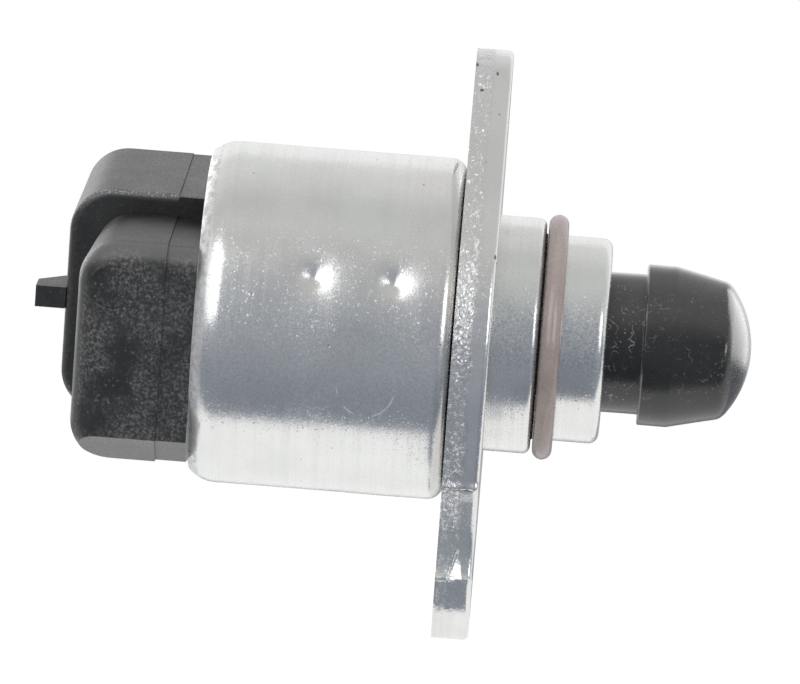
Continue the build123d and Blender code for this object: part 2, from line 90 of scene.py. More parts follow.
def placed(name, data):
    """A new object at the origin, linked to the scene."""
    thing = bpy.data.objects.new(name, data)
    bpy.context.scene.collection.objects.link(thing)
    return thing


def standing(right, up, back, place):
    """The matrix of an object, from its own three directions and its place."""
    columns = np.eye(4)
    columns[:3] = np.stack([right, up, back, place], -1)
    return Matrix(columns.tolist())


camera = placed("photo_camera", bpy.data.cameras.new("photo_camera"))
camera.data.sensor_width = SENSOR_WIDTH
camera.data.lens = FOCAL_PIXELS * SENSOR_WIDTH / PICTURE_WIDTH
camera.data.clip_start = 0.01
forward = np.array([np.sin(YAW), np.cos(YAW), 0.0])
level_right = np.array([np.cos(YAW), -np.sin(YAW), 0.0])
upright = np.array([0.0, 0.0, 1.0])
rolled_right = np.cos(ROLL_TO_RIGHT) * level_right + np.sin(ROLL_TO_RIGHT) * upright
rolled_up = -np.sin(ROLL_TO_RIGHT) * level_right + np.cos(ROLL_TO_RIGHT) * upright
camera.matrix_world = standing(rolled_right, rolled_up, -forward, CAMERA_PLACE)
bpy.context.scene.camera = camera
bpy.context.scene.view_settings.view_transform = "Standard"
print("lens", round(camera.data.lens, 1), "mm at", round(-CAMERA_PLACE[1], 3), "m")

# %% [markdown]
# ## Surfaces from arrays
# Every new piece is a grid of points. A turned piece is a half section, as stations and radii, carried round
# the axis; a stamped piece is an outline carried through the thickness. One helper turns such a grid into a
# mesh, wrapping it round in either direction.

# %% Grid helpers
def in_mm(corners):
    """Both corners of a box, in millimetres."""
    return np.array([tuple(corner) for corner in corners]) / MM


def grid_faces(rows, columns, wrap_rows, wrap_columns):
    """Quads of a grid: each joins a point to its neighbours in the next row and the next column."""
    last_row = rows if wrap_rows else rows - 1
    last_column = columns if wrap_columns else columns - 1
    i, j = np.meshgrid(np.arange(last_row), np.arange(last_column), indexing="ij")
    i_next, j_next = (i + 1) % rows, (j + 1) % columns
    corners = [i * columns + j, i * columns + j_next, i_next * columns + j_next, i_next * columns + j]
    return np.stack(corners, -1).reshape(-1, 4)


def merge(mesh, distance, outwards):
    """Joins the points of a mesh that lie closer than a distance, and can turn the faces outwards."""
    shell = bmesh.new()
    shell.from_mesh(mesh)
    bmesh.ops.remove_doubles(shell, verts=shell.verts, dist=distance)
    if outwards:
        bmesh.ops.recalc_face_normals(shell, faces=shell.faces)
    shell.to_mesh(mesh)
    shell.free()


def piece_from(name, points, faces, sharp=30.0, marks=None):
    """A mesh object at the origin from an (n, 3) array in metres and a list of faces, smooth but for its
    edges that are sharper than the angle, and with the faces turned outwards. Marks are arrays kept as
    attributes for the finish, one value a point, or else one value a corner of each face."""
    mesh = bpy.data.meshes.new(name)
    mesh.from_pydata(np.asarray(points).tolist(), [], [list(map(int, face)) for face in faces])
    for label, values in (marks or {}).items():
        domain = "POINT" if len(values) == len(points) else "CORNER"
        kept = mesh.attributes.new(label, "FLOAT", domain)
        kept.data.foreach_set("value", np.asarray(values, np.float32))
    merge(mesh, 1e-7, True)
    mesh.shade_smooth()
    mesh.set_sharp_from_angle(angle=np.radians(sharp))
    print(name, len(mesh.vertices), "points", len(mesh.polygons), "faces")
    return placed(name, mesh)


print("grid helpers ready")

# %% [markdown]
# ## Half sections
# A section is a list of corners, each with the radius that rounds it. The corners become short arcs, and
# the straight runs between them get extra points where a dent or a mark needs them.

# %% Section helpers
ARC_POINTS = 9


def circle(centre, radius, angle):
    """Points of a circle in a plane: c + r (cos a, sin a) for each angle a."""
    return np.asarray(centre) + radius * np.stack([np.cos(angle), np.sin(angle)], -1)


def rounded_section(corners, closed=True):
    """Points along a polygon of (station, radius, rounding): each corner is cut back by
    rounding * tan(half its turn) on both sides, and a circular arc joins the two cuts."""
    corners = np.asarray(corners, float)
    flat, size = corners[:, :2], corners[:, 2]
    before, after = np.roll(flat, 1, 0) - flat, np.roll(flat, -1, 0) - flat
    before /= np.maximum(np.linalg.norm(before, axis=1, keepdims=True), 1e-9)
    after /= np.maximum(np.linalg.norm(after, axis=1, keepdims=True), 1e-9)
    out = []
    for k in range(len(flat)):
        if size[k] <= 0 or (not closed and k in (0, len(flat) - 1)):
            out.append(flat[k:k + 1])
            continue
        half = np.arccos(np.clip(before[k] @ after[k], -1, 1)) / 2
        middle = before[k] + after[k]
        centre = flat[k] + middle / np.linalg.norm(middle) * size[k] / np.sin(half)
        start = flat[k] + before[k] * size[k] / np.tan(half) - centre
        end = flat[k] + after[k] * size[k] / np.tan(half) - centre
        whole = np.arctan2(start[0] * end[1] - start[1] * end[0], start @ end)
        turn = np.arctan2(start[1], start[0]) + whole * np.linspace(0, 1, ARC_POINTS)
        out.append(circle(centre, size[k], turn))
    return np.concatenate(out)


def filled(section, spacing, closed=True):
    """The same section with points added on its runs, so that no two are further apart than the spacing."""
    ends = np.concatenate([section[1:], section[:1]]) if closed else section[1:]
    starts = section if closed else section[:-1]
    counts = np.maximum(np.ceil(np.linalg.norm(ends - starts, axis=1) / spacing).astype(int), 1)
    runs = [a + (b - a) * np.linspace(0, 1, n + 1)[:-1, None] for a, b, n in zip(starts, ends, counts)]
    return np.concatenate(runs if closed else runs + [section[-1:]])


print("section helpers ready")

# %% [markdown]
# A lathe or a press gives a turned piece the same section all round, but never quite: the radius wanders by
# hundredths of a millimetre. The wander is a smooth noise that closes on itself after one turn.

# %% Turned pieces
LATTICE = 512


def turned_piece(name, section, steps=256, closed=True, shift=None, sharp=30.0, crowd=(0.0, 0.0)):
    """A section carried round the axis: (x, r cos a, r sin a) for each of its points and each angle a. The
    shift function, if any, changes r as a function of the station, the angle and r. The steps can crowd about
    an angle and its opposite: a = u - share * sin(2 (u - there)) / 2. Millimetres in."""
    angle = np.arange(steps) * 2 * np.pi / steps
    angle = angle - crowd[0] * np.sin(2 * (angle - crowd[1])) / 2
    station = np.repeat(section[:, :1], steps, 1)
    radius = np.repeat(section[:, 1:2], steps, 1)
    round_angle = np.repeat(angle[None, :], len(section), 0)
    if shift is not None:
        radius = radius + shift(station, round_angle, radius)
    points = np.stack([station, radius * np.cos(round_angle), radius * np.sin(round_angle)], -1)
    faces = grid_faces(len(section), steps, closed, True)
    return piece_from(name, points.reshape(-1, 3) * MM, faces, sharp)


def smooth_noise(u, v, seed, wrap_u=LATTICE):
    """Value noise between 0 and 1: random heights on a whole-number lattice, joined by a smooth step along
    u and v. The lattice repeats after a number of steps along u."""
    lattice = np.random.default_rng(seed).random((LATTICE, LATTICE))
    iu, iv = np.floor(u).astype(int), np.floor(v).astype(int)
    fu, fv = u - iu, v - iv
    fu, fv = fu * fu * (3 - 2 * fu), fv * fv * (3 - 2 * fv)
    first, second = iu % wrap_u, (iu + 1) % wrap_u
    top = lattice[first, iv % LATTICE] * (1 - fu) + lattice[second, iv % LATTICE] * fu
    low = lattice[first, (iv + 1) % LATTICE] * (1 - fu) + lattice[second, (iv + 1) % LATTICE] * fu
    return top * (1 - fv) + low * fv


def round_noise(angle, waves, station, seed):
    """Smooth noise round the axis: so many waves in a full turn, and along the station."""
    return smooth_noise(angle / (2 * np.pi) * waves, station, seed, waves)


print("turning helpers ready")

# %% [markdown]
# ## Motor can
# The can is drawn from zinc plated sheet: a straight wall, a tight bend at the front and a lip that is rolled in
# over the end cap at the rear, in a slow curve. Two punched dents on each side hold the stators. Sheet gives way
# all round a punch, so a dent has no rim: it is a bell turned upside down.

# %% Motor can
low, high = in_mm(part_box("motor_can"))
CAN_REAR, CAN_FRONT, CAN_RADIUS = low[0], high[0], high[2]
CAN_WALL, LIP_WIDTH, SPIGOT, FRONT_BEND = 0.9, 2.5, 9.92, 1.45
ROLL_REAR, ROLL_RADIUS, ROLL_TURN = CAN_REAR - 0.5, 3.36, np.radians(48.0)
DENT_STATIONS, DENT_ELEVATION = (-9.13, -16.33), np.radians(13.7)
DENT_REACH, DENT_DEPTH, DENT_END = 1.24, 0.52, 5.5
PRESS_MARK = 0.05


def dents(station, angle, radius):
    """How far the wall sinks: at the distance p from each dent's axis, depth / (1 + (p / reach)^2), faded out
    over the next millimetres so that the wall is round again between the dents."""
    sink = np.zeros_like(radius)
    wall = (station < CAN_FRONT - 1.3) & (station > CAN_REAR + 2.6) & (radius > CAN_RADIUS - CAN_WALL - 0.05)
    for centre in DENT_STATIONS:
        for facing in (np.pi - DENT_ELEVATION, -DENT_ELEVATION):
            away = np.hypot(station - centre, CAN_RADIUS * np.sin(angle - facing))
            fade = np.clip(1 - away / DENT_END, 0, 1)
            bell = DENT_DEPTH / (1 + (away / DENT_REACH) ** 2) * fade**0.5
            sink -= np.where(np.cos(angle - facing) > 0.5, bell, 0)
    return np.where(wall, sink, 0)


def can_wobble(station, angle, radius):
    """Dents, plus a press mark a few hundredths deep that wanders round the wall and the bends."""
    wander = round_noise(angle, 14, station * 0.22, 4) - 0.5
    return dents(station, angle, radius) + np.where(radius > 12.0, PRESS_MARK * wander, 0)


front_line = rounded_section([(CAN_FRONT, SPIGOT + 0.02, 0), (CAN_FRONT, CAN_RADIUS, FRONT_BEND),
                              (CAN_REAR, CAN_RADIUS, 0)], closed=False)
roll_centre = (ROLL_REAR + ROLL_RADIUS * np.sin(ROLL_TURN), CAN_RADIUS - ROLL_RADIUS)
rear_roll = circle(roll_centre, ROLL_RADIUS, np.pi / 2 + np.linspace(0, ROLL_TURN, 22))
inside_line = rounded_section([
    (*rear_roll[-1], 0), (ROLL_REAR, CAN_RADIUS - LIP_WIDTH, 0.2),
    (CAN_REAR + CAN_WALL, CAN_RADIUS - LIP_WIDTH, 0), (CAN_REAR + CAN_WALL, CAN_RADIUS - CAN_WALL, 0),
    (CAN_FRONT - CAN_WALL, CAN_RADIUS - CAN_WALL, 0.3), (CAN_FRONT - CAN_WALL, SPIGOT + 0.02, 0)], closed=False)
outer_line = filled(np.concatenate([front_line[:-1], rear_roll]), 0.15, closed=False)
can_section = np.concatenate([outer_line, filled(inside_line[1:], 0.45, closed=False)])
motor_can = turned_piece("can_shell", can_section, 320, shift=can_wobble, crowd=(0.6, -DENT_ELEVATION))

# %% [markdown]
# ## Mounting flange
# The flange is stamped from thick strip. Its edge shows how it was cut: a rounded roll at the front where the
# punch went in, a smooth sheared band, then a rough fracture with a thin burr at the back. The outline is the
# hull of three circles with one scallop; a hull point in direction a is the furthest of c + r (cos a, sin a).

# %% Flange outline
low, high = in_mm(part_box("mounting_flange"))
FLANGE_REAR, MIDDLE_RADIUS, EAR_RADIUS = low[0], high[1], 6.2
UPPER_HOLE, LOWER_HOLE, BOLT_RADIUS, PILOT = 19.9, -22.3, 2.75, 10.9
SCALLOP_CENTRE, SCALLOP_RADIUS = np.array([-14.1, -21.15]), 7.5
OUTLINE_STEP = 0.12


def evenly(loop, spacing):
    """A closed line of points resampled to an even spacing along its length."""
    ring = np.concatenate([loop, loop[:1]])
    run = np.concatenate([[0], np.cumsum(np.linalg.norm(np.diff(ring, axis=0), axis=1))])
    count = int(round(run[-1] / spacing))
    want = np.arange(count) * run[-1] / count
    return np.stack([np.interp(want, run, ring[:, 0]), np.interp(want, run, ring[:, 1])], -1)


def flange_outline(spacing):
    """Hull of the middle and the two ears, with the run of points inside the scallop put on its circle."""
    heading = np.linspace(0, 2 * np.pi, 2880, endpoint=False)
    facing = np.stack([np.cos(heading), np.sin(heading)], -1)
    centres = np.array([[0, 0], [0, UPPER_HOLE], [0, LOWER_HOLE]])
    radii = np.array([MIDDLE_RADIUS, EAR_RADIUS, EAR_RADIUS])
    best = np.argmax(facing @ centres.T + radii, axis=1)
    hull = evenly(centres[best] + radii[best, None] * facing, spacing / 4)
    inside = np.hypot(*(hull - SCALLOP_CENTRE).T) < SCALLOP_RADIUS
    hull, inside = np.roll(hull, -np.argmin(inside), 0), np.roll(inside, -np.argmin(inside))
    run = np.flatnonzero(inside)
    ends = hull[[run[0] - 1, run[-1] + 1]] - SCALLOP_CENTRE
    first, last = np.arctan2(ends[:, 1], ends[:, 0])
    last += 2 * np.pi * np.round((first - last) / (2 * np.pi))
    arc = circle(SCALLOP_CENTRE, SCALLOP_RADIUS, np.linspace(first, last, 400))
    return evenly(np.concatenate([hull[:run[0]], arc, hull[run[-1] + 1:]]), spacing), arc[[0, -1]]


outline, scallop_ends = flange_outline(OUTLINE_STEP)
upper_corner, lower_corner = scallop_ends[np.argsort(-scallop_ends[:, 1])]
ahead = np.roll(outline, -3, 0) - np.roll(outline, 3, 0)
outward = np.stack([ahead[:, 1], -ahead[:, 0]], -1) / np.linalg.norm(ahead, axis=1, keepdims=True)
print("flange outline", len(outline), "points")

# %% [markdown]
# The edge is that outline carried from the back to the front. The offset along the outward normal depends on
# the depth: a burr at the back, broken noise over the fracture, next to nothing over the sheared band, and a
# quarter of a circle for the roll. Both corners of the scallop kept a burr of their own, and above the lower one
# the sheared band is dragged into a leaning facet. A few nicks came from handling. Attributes keep where the
# fracture and the nicks are, for the finish; they sit on the corners of faces, so the flat faces stay free of them.

# %% Flange edge
THICK, ROLL, FRACTURE_SHARE = -FLANGE_REAR, 0.5, 0.52
GRIT_HEIGHT, STREAK_HEIGHT, BACK_BURR, UPPER_BURR, LOWER_BURR = 0.13, 0.018, 0.06, 0.28, 0.10
FACET_DEPTH, FACET_LENGTH, FACET_LEAN, FACET_SINK = 1.85, 2.9, 0.24, 0.10
NICK_SINK = 0.12
NICKS = (  # height, depth from the back, length, width
    (24.4, 0.12, 0.30, 0.18), (22.1, 0.75, 0.20, 0.20), (23.7, 2.05, 0.30, 0.13), (6.8, 3.20, 0.30, 0.13))

straight = np.linspace(0, 1, 34)[:-1] * (THICK - ROLL)
depth = np.concatenate([straight, THICK - ROLL + ROLL * np.sin(np.linspace(0, np.pi / 2, 8))])
along = np.arange(len(outline)) * OUTLINE_STEP
grid_along, grid_depth = np.meshgrid(along, depth, indexing="ij")


def edge_noise(per_mm, per_mm_deep, seed):
    """Smooth noise over the edge, with so many waves a millimetre along it and through its depth."""
    return smooth_noise(grid_along * per_mm, grid_depth * per_mm_deep, seed)


border = THICK * (FRACTURE_SHARE + 0.09 * (edge_noise(0.55, 0, 11) - 0.5) + 0.05 * (edge_noise(2.1, 0, 12) - 0.5))
finer_below = np.interp(outline[:, 1], [-19.0, -14.0], [0.4, 1.0])[:, None]
fracture = np.clip((border - grid_depth) / 0.45 + 0.5, 0, 1) * finer_below
grit = 0.55 * edge_noise(1.6, 2.4, 13) + 0.45 * edge_noise(4.2, 5.2, 14)
streaks = edge_noise(2.6, 0.25, 15) - 0.5
offset = fracture * GRIT_HEIGHT * (grit - 0.62) + (1 - fracture) * STREAK_HEIGHT * streaks
offset += BACK_BURR * np.exp(-grid_depth / 0.10) * edge_noise(1.2, 0, 16)
from_upper, from_lower = (np.linalg.norm(outline - corner, axis=1)[:, None]
                          for corner in (upper_corner, lower_corner))
ragged = 0.6 + 0.8 * smooth_noise(grid_depth * 1.3, grid_along * 0, 17)
offset += UPPER_BURR * ragged * np.exp(-((from_upper / 0.40) ** 2))
offset += LOWER_BURR * ragged * np.exp(-((from_lower / 0.30) ** 2))
in_scallop = (np.hypot(*(outline - SCALLOP_CENTRE).T) < SCALLOP_RADIUS + 0.05)[:, None]
spread = 0.75 * np.clip(1 - from_lower / FACET_LENGTH, 0, 1) * in_scallop
facet = np.clip((spread - np.abs(grid_depth - FACET_DEPTH)) / 0.08, 0, 1)
offset += facet * (FACET_LEAN * (grid_depth - FACET_DEPTH) - FACET_SINK)
fracture = fracture * (1 - facet)
near_side, nicks = np.flatnonzero(outline[:, 0] < 0), np.zeros_like(grid_depth)
for height, station, length, width in NICKS:
    at = along[near_side[np.argmin(np.abs(outline[near_side, 1] - height))]]
    nicks += np.exp(-(((grid_along - at) / length) ** 2 + ((grid_depth - station) / width) ** 2))
offset -= NICK_SINK * nicks
in_roll = np.maximum(grid_depth - THICK + ROLL, 0)
offset -= ROLL - np.sqrt(np.maximum(ROLL**2 - in_roll**2, 0))
edge = np.empty(grid_along.shape + (3,))
edge[..., 0] = FLANGE_REAR + grid_depth
edge[..., 1:] = outline[:, None, :] + offset[..., None] * outward[:, None, :]
print("flange edge", edge.shape[0], "by", edge.shape[1], "points")

# %% [markdown]
# Two flat faces close the plate at the back and the front, each filled by a triangulation that leaves the holes
# open, and a short wall runs through each hole.

# %% Flange faces
HOLES = (((0, 0), PILOT, PILOT + 0.02, 200), ((0, UPPER_HOLE), BOLT_RADIUS, BOLT_RADIUS, 72),
         ((0, LOWER_HOLE), BOLT_RADIUS, BOLT_RADIUS, 72))
hole_loops = [circle(centre, radius, np.arange(count) * 2 * np.pi / count) for centre, _, radius, count in HOLES]


def flat_face(border_loop):
    """Triangles that fill a loop but leave its holes open, from a constrained triangulation."""
    loops = [border_loop] + hole_loops
    starts = np.cumsum([0] + [len(loop) for loop in loops])
    joins = np.concatenate([np.stack([np.arange(len(loop)), np.roll(np.arange(len(loop)), -1)], -1) + start
                            for loop, start in zip(loops, starts)])
    verts, _, faces, _, _, _ = delaunay_2d_cdt(np.concatenate(loops).tolist(), joins.tolist(), [], 1, 1e-6)
    verts, faces = np.array([tuple(v) for v in verts]), np.array(faces)
    middle = verts[faces].mean(1)
    in_hole = [np.hypot(*(middle - centre).T) < radius - 0.02 for centre, radius, _, _ in HOLES]
    return verts, faces[~np.any(in_hole, axis=0)]


edge_faces = grid_faces(len(outline), len(depth), True, False)
flange_parts, flange_faces, count = [edge.reshape(-1, 3)], edge_faces.tolist(), edge[..., 0].size
for station, loop in ((FLANGE_REAR, edge[:, 0, 1:]), (0.0, edge[:, -1, 1:])):
    flat, triangles = flat_face(loop)
    flange_parts.append(np.column_stack([np.full(len(flat), station), flat]))
    flange_faces += (triangles + count).tolist()
    count += len(flat)
for loop in hole_loops:
    wall = np.concatenate([np.column_stack([np.full(len(loop), x), loop]) for x in (FLANGE_REAR, 0.0)])
    flange_parts.append(wall)
    flange_faces += (grid_faces(2, len(loop), False, True) + count).tolist()
    count += len(wall)
flange_points = np.clip(np.concatenate(flange_parts), low, high)
unmarked = np.zeros(sum(len(face) for face in flange_faces) - edge_faces.size)
edge_marks = {label: np.concatenate([values.ravel()[edge_faces].ravel(), unmarked])
              for label, values in (("fracture", fracture), ("nick", np.clip(nicks, 0, 1)))}
flange_plate = piece_from("flange_plate", flange_points * MM, flange_faces, 50.0, edge_marks)
facing = np.zeros(len(flange_plate.data.polygons) * 3, np.float32)
flange_plate.data.polygons.foreach_get("normal", facing)
flange_plate.data.polygons.foreach_set("use_smooth", np.abs(facing[::3]) < 0.9999)
print("flange faces left flat:", int((np.abs(facing[::3]) >= 0.9999).sum()))

# %% [markdown]
# ## Nose hub
# The hub is turned from bar: a pilot that fills the bore of the engine's housing, a shoulder, then the nose
# that carries the O-ring. Its back is staked over inside the can, and its bore takes the skirt of the pintle.
# The section is the same as that of the solid, with the small tool radii that a lathe leaves.

# %% Nose hub
STAKE_REAR, STAKE_FRONT, STAKE_RADIUS, NECK_RADIUS = -4.7, -4.3, 11.1, 9.9
SHOULDER, NOSE_END, NOSE_RADIUS = 4.3, 10.5, 9.5
SKIRT_BORE, GUIDE_BORE, GUIDE_FRONT = 6.8, 8.02, 1.52
hub_section = rounded_section([
    (STAKE_REAR, GUIDE_BORE, 0), (STAKE_REAR, STAKE_RADIUS, 0.1), (STAKE_FRONT, STAKE_RADIUS, 0.1),
    (STAKE_FRONT, NECK_RADIUS, 0), (FLANGE_REAR, NECK_RADIUS, 0), (FLANGE_REAR, PILOT, 0.1),
    (SHOULDER, PILOT, 0.7), (SHOULDER, NOSE_RADIUS, 0.15), (NOSE_END, NOSE_RADIUS, 0.9),
    (NOSE_END, SKIRT_BORE, 0.2), (GUIDE_FRONT, SKIRT_BORE, 0), (GUIDE_FRONT, GUIDE_BORE, 0)])


def lathe_marks(station, angle, radius):
    """Turning marks: a sine along the station, three thousandths deep, whose phase wanders round the hub."""
    phase = 2.5 * round_noise(angle, 9, station * 0.4, 21)
    return 0.003 * np.sin(station * 2 * np.pi / 0.31 + phase) * (station > 0.2) * (station < NOSE_END - 0.2)


hub_turned = turned_piece("hub_turned", filled(hub_section, 0.16), shift=lathe_marks)

# %% [markdown]
# ## O-ring
# The O-ring is moulded in two halves, so a thin line of flash runs round it where the mould closed. It is a
# torus: a small circle carried round the axis, whose radius swells a little at the line.

# %% O-ring
low, high = in_mm(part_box("o_ring"))
RING_STATION, RING_SECTION = (low[0] + high[0]) / 2, (high[0] - low[0]) / 2
turn = np.arange(56) * 2 * np.pi / 56
flash = 0.03 * np.exp(-((np.abs(np.cos(turn)) / 0.09) ** 2)) * (np.sin(turn) > 0)
swell = RING_SECTION * (1 - 0.012 + flash)
ring_section = circle((RING_STATION, high[2] - RING_SECTION), swell[:, None], turn)


def ring_wander(station, angle, radius):
    """The ring isn't quite round: it stands a hundredth or two in or out as it goes round."""
    return 0.02 * (round_noise(angle, 11, station * 0, 31) - 0.5)


seal_ring = turned_piece("seal_ring", ring_section, shift=ring_wander, sharp=80.0)

# %% [markdown]
# ## Pintle
# The pintle is moulded in black plastic: a thin skirt that slides in the nose, a collar, a cone that meters the
# air, and a domed end. The dome is an arc of a circle whose radius follows from its width and height, and the
# section ends on the axis at both ends, so the poles close by themselves.

# %% Pintle
TIP, CONE_END, CONE_START, COLLAR_REAR, SKIRT_REAR = 23.95, 21.55, 16.6, 13.9, 6.1
CONE_RADIUS, COLLAR_RADIUS, SKIRT_RADIUS, SKIRT_INSIDE = 6.32, 7.45, 6.5, 5.4
SKIRT_FLOOR, SCREW_SEAT, SCREW_SEAT_RADIUS = 14.6, 18.0, 2.0
dome = (CONE_RADIUS**2 + (TIP - CONE_END) ** 2) / (2 * (TIP - CONE_END))
lean = np.linspace(0, np.arcsin((CONE_RADIUS - 0.45) / dome), 26)
dome_line = circle((TIP - dome, 0), dome, lean)
edge_end = np.array([CONE_END - 0.42, CONE_RADIUS + 0.095])
corner_at = np.array([CONE_END + 0.02, CONE_RADIUS - 0.01])
share = np.linspace(0, 1, 9)[1:, None]
edge_line = (1 - share) ** 2 * dome_line[-1] + 2 * share * (1 - share) * corner_at + share**2 * edge_end
rest_line = rounded_section([
    (*edge_end, 0), (CONE_START, COLLAR_RADIUS, 0.25), (COLLAR_REAR, COLLAR_RADIUS, 0.18),
    (COLLAR_REAR, SKIRT_RADIUS, 0.12), (SKIRT_REAR, SKIRT_RADIUS, 0.25), (SKIRT_REAR, SKIRT_INSIDE, 0.1),
    (SKIRT_FLOOR, SKIRT_INSIDE, 0.1), (SKIRT_FLOOR, SCREW_SEAT_RADIUS, 0), (SCREW_SEAT, SCREW_SEAT_RADIUS, 0),
    (SCREW_SEAT, 0, 0)], closed=False)
pintle_section = np.concatenate([dome_line, edge_line[:-1], filled(rest_line, 0.3, closed=False)])


def mould_wander(station, angle, radius):
    """The moulding shrank unevenly: its outside stands in by a hundredth or two, in slow waves."""
    wave = round_noise(angle, 7, station * 0.3, 41)
    return -0.03 * np.clip(radius / 6, 0, 1) * wave * (radius > 5.9)


valve_pintle = turned_piece("valve_pintle", pintle_section, 224, closed=False, shift=mould_wander)

# %% [markdown]
# ## Pintle spring
# A spring of round wire stands in the skirt, between the screw's guide and the floor of the skirt, and takes up
# the play of the thread. It is a small circle carried along a helix, and a ring of no radius closes each end. In
# the valve the rear end stays and the front end goes with the pintle; this piece is made at one length.

# %% Pintle spring
SPRING_REAR, SPRING_FRONT, COIL_RADIUS, WIRE_RADIUS, COIL_TURNS = 1.84, 14.28, 4.3, 0.3, 6


def coil(steps, sides):
    """A circle carried along a helix: the middle is (x, R cos a, R sin a) as x grows with a, and each point lies
    r (cos b) out along the radius and r (sin b) across both the radius and the wire."""
    share = np.concatenate([[0], np.linspace(0, 1, steps), [1]])[:, None]
    a = np.pi / 2 + share * COIL_TURNS * 2 * np.pi
    b = np.arange(sides)[None, :] * 2 * np.pi / sides
    r = np.full_like(share, WIRE_RADIUS)
    r[[0, -1]] = 0
    climb = np.arctan((SPRING_FRONT - SPRING_REAR) / (COIL_TURNS * 2 * np.pi * COIL_RADIUS))
    out, across = COIL_RADIUS + r * np.cos(b), r * np.sin(b)
    x = SPRING_REAR + (SPRING_FRONT - SPRING_REAR) * share + across * np.cos(climb)
    y = out * np.cos(a) + across * np.sin(climb) * np.sin(a)
    z = out * np.sin(a) - across * np.sin(climb) * np.cos(a)
    return np.stack([x, y, z], -1).reshape(-1, 3), grid_faces(steps + 2, sides, False, True)


spring_points, spring_faces = coil(COIL_TURNS * 56, 14)
coil_spring = piece_from("coil_spring", spring_points * MM, spring_faces, 50.0)

# %% [markdown]
# ## Connector moulding
# The black moulding closes the rear of the can and carries the plug's socket. The solid already has its
# rounds and bevels, so its triangles are copied, merged and shaded smooth, and only the edges that are really
# sharp stay so. Large flat faces keep their own direction, by weighting each corner's normal with the area. The
# points against the can move to meet its rolled lip, and the end of the closed back draws out by half a millimetre.

# %% Connector moulding
PLUG_TURN = np.radians(13.0)
PLUG_WAY = (0.0, np.cos(PLUG_TURN), np.sin(PLUG_TURN))
DRAW_START, DRAW_RUN, DRAW_OUT = -31.5, 2.5, 0.5
moulding_mesh = frame["nodes"]["end_cap"].data.copy()
moulding_mesh.name = "connector_moulding"
merge(moulding_mesh, 2e-6, False)
places = np.empty(len(moulding_mesh.vertices) * 3)
moulding_mesh.vertices.foreach_get("co", places)
places = places.reshape(-1, 3)
on_rear = np.abs(places[:, 0] / MM - CAN_REAR) < 0.02
at_lip = on_rear & (np.hypot(places[:, 1], places[:, 2]) / MM > CAN_RADIUS - LIP_WIDTH)
places[at_lip, 0] = (ROLL_REAR + 0.03) * MM
drawn = np.clip((DRAW_START - places[:, 0] / MM) / DRAW_RUN, 0, 1) * (places @ PLUG_WAY < -0.5 * MM)
places[:, 0] -= DRAW_OUT * MM * drawn**2 * (3 - 2 * drawn)
moulding_mesh.vertices.foreach_set("co", places.ravel())
if moulding_mesh.has_custom_normals:
    moulding_mesh.attributes.remove(moulding_mesh.attributes["custom_normal"])
moulding_mesh.shade_smooth()
moulding_mesh.set_sharp_from_angle(angle=np.radians(32))
connector_moulding = placed("connector_moulding", moulding_mesh)
weighting = connector_moulding.modifiers.new("flat_faces_first", "WEIGHTED_NORMAL")
weighting.keep_sharp, weighting.weight = True, 80
print("connector_moulding", len(moulding_mesh.vertices), "points", len(moulding_mesh.polygons), "faces")

# %% [markdown]
# ## Finishes from nodes
# A finish is a small tree of nodes. These helpers put a node in a tree and join it up, so that a finish reads
# like a recipe. A value knows the tree it is in, so the helpers find the tree by themselves. What several
# finishes share, such as specks of dust or drawing lines, is a node group that is made once and given its own
# values in each finish.

# %% Node helpers
def put(tree, kind, sockets=(), **settings):
    """A new shader node with its settings; every socket named gets a number, a colour or a link."""
    node = tree.nodes.new("ShaderNode" + kind)
    for key, value in settings.items():
        setattr(node, key, value)
    for key, value in dict(sockets).items():
        if isinstance(value, bpy.types.NodeSocket):
            tree.links.new(value, node.inputs[key])
        else:
            node.inputs[key].default_value = value
    return node


def tree_of(*values):
    """The tree of the first socket among some values."""
    return next(value.id_data for value in values if isinstance(value, bpy.types.NodeSocket))


def join(source, target):
    """Links one socket to another."""
    source.id_data.links.new(source, target)


def sums(operation, first, second=0.5):
    """One step of arithmetic on two values."""
    return put(tree_of(first, second), "Math", {0: first, 1: second}, operation=operation).outputs[0]


def times(first, second):
    """The product of two values."""
    return sums("MULTIPLY", first, second)


def plus(first, second):
    """The sum of two values."""
    return sums("ADD", first, second)


def apart(value, middle):
    """How far a value is from a middle, either way."""
    return sums("ABSOLUTE", sums("SUBTRACT", value, middle))


def vector(operation, *values):
    """One step of arithmetic on vectors."""
    sockets = {0: values[0], "Scale": values[1]} if operation == "SCALE" else dict(enumerate(values))
    outputs = put(tree_of(*values), "VectorMath", sockets, operation=operation).outputs
    return outputs["Value" if operation in ("DOT_PRODUCT", "LENGTH") else "Vector"]


print("node helpers ready")

# %% [markdown]
# The next helpers are the common steps of a recipe: a soft step, a noise, a tint over a colour, and a group
# with named inputs and outputs that can be placed in any finish.

# %% Steps of a recipe
def step_between(value, low, high, bottom=0.0, top=1.0, rise="SMOOTHSTEP"):
    """A soft step: bottom below low, top above high, and a smooth or straight rise between."""
    limits = {"Value": value, "From Min": low, "From Max": high, "To Min": bottom, "To Max": top}
    return put(tree_of(value), "MapRange", limits, interpolation_type=rise).outputs["Result"]


def noise(where, scale, detail=2.0, roughness=0.5, give="Fac"):
    """Fractal noise at a place, with so many waves a metre."""
    sockets = {"Vector": where, "Scale": scale, "Detail": detail, "Roughness": roughness}
    return put(tree_of(where), "TexNoise", sockets).outputs[give]


def split(value):
    """The three parts of a vector."""
    return put(tree_of(value), "SeparateXYZ", {0: value}).outputs


def rgba(colour):
    """A colour with alpha, from a grey, from red, green and blue, or a link as it is."""
    if isinstance(colour, bpy.types.NodeSocket):
        return colour
    return (*(colour if isinstance(colour, tuple) else (colour,) * 3), 1.0)


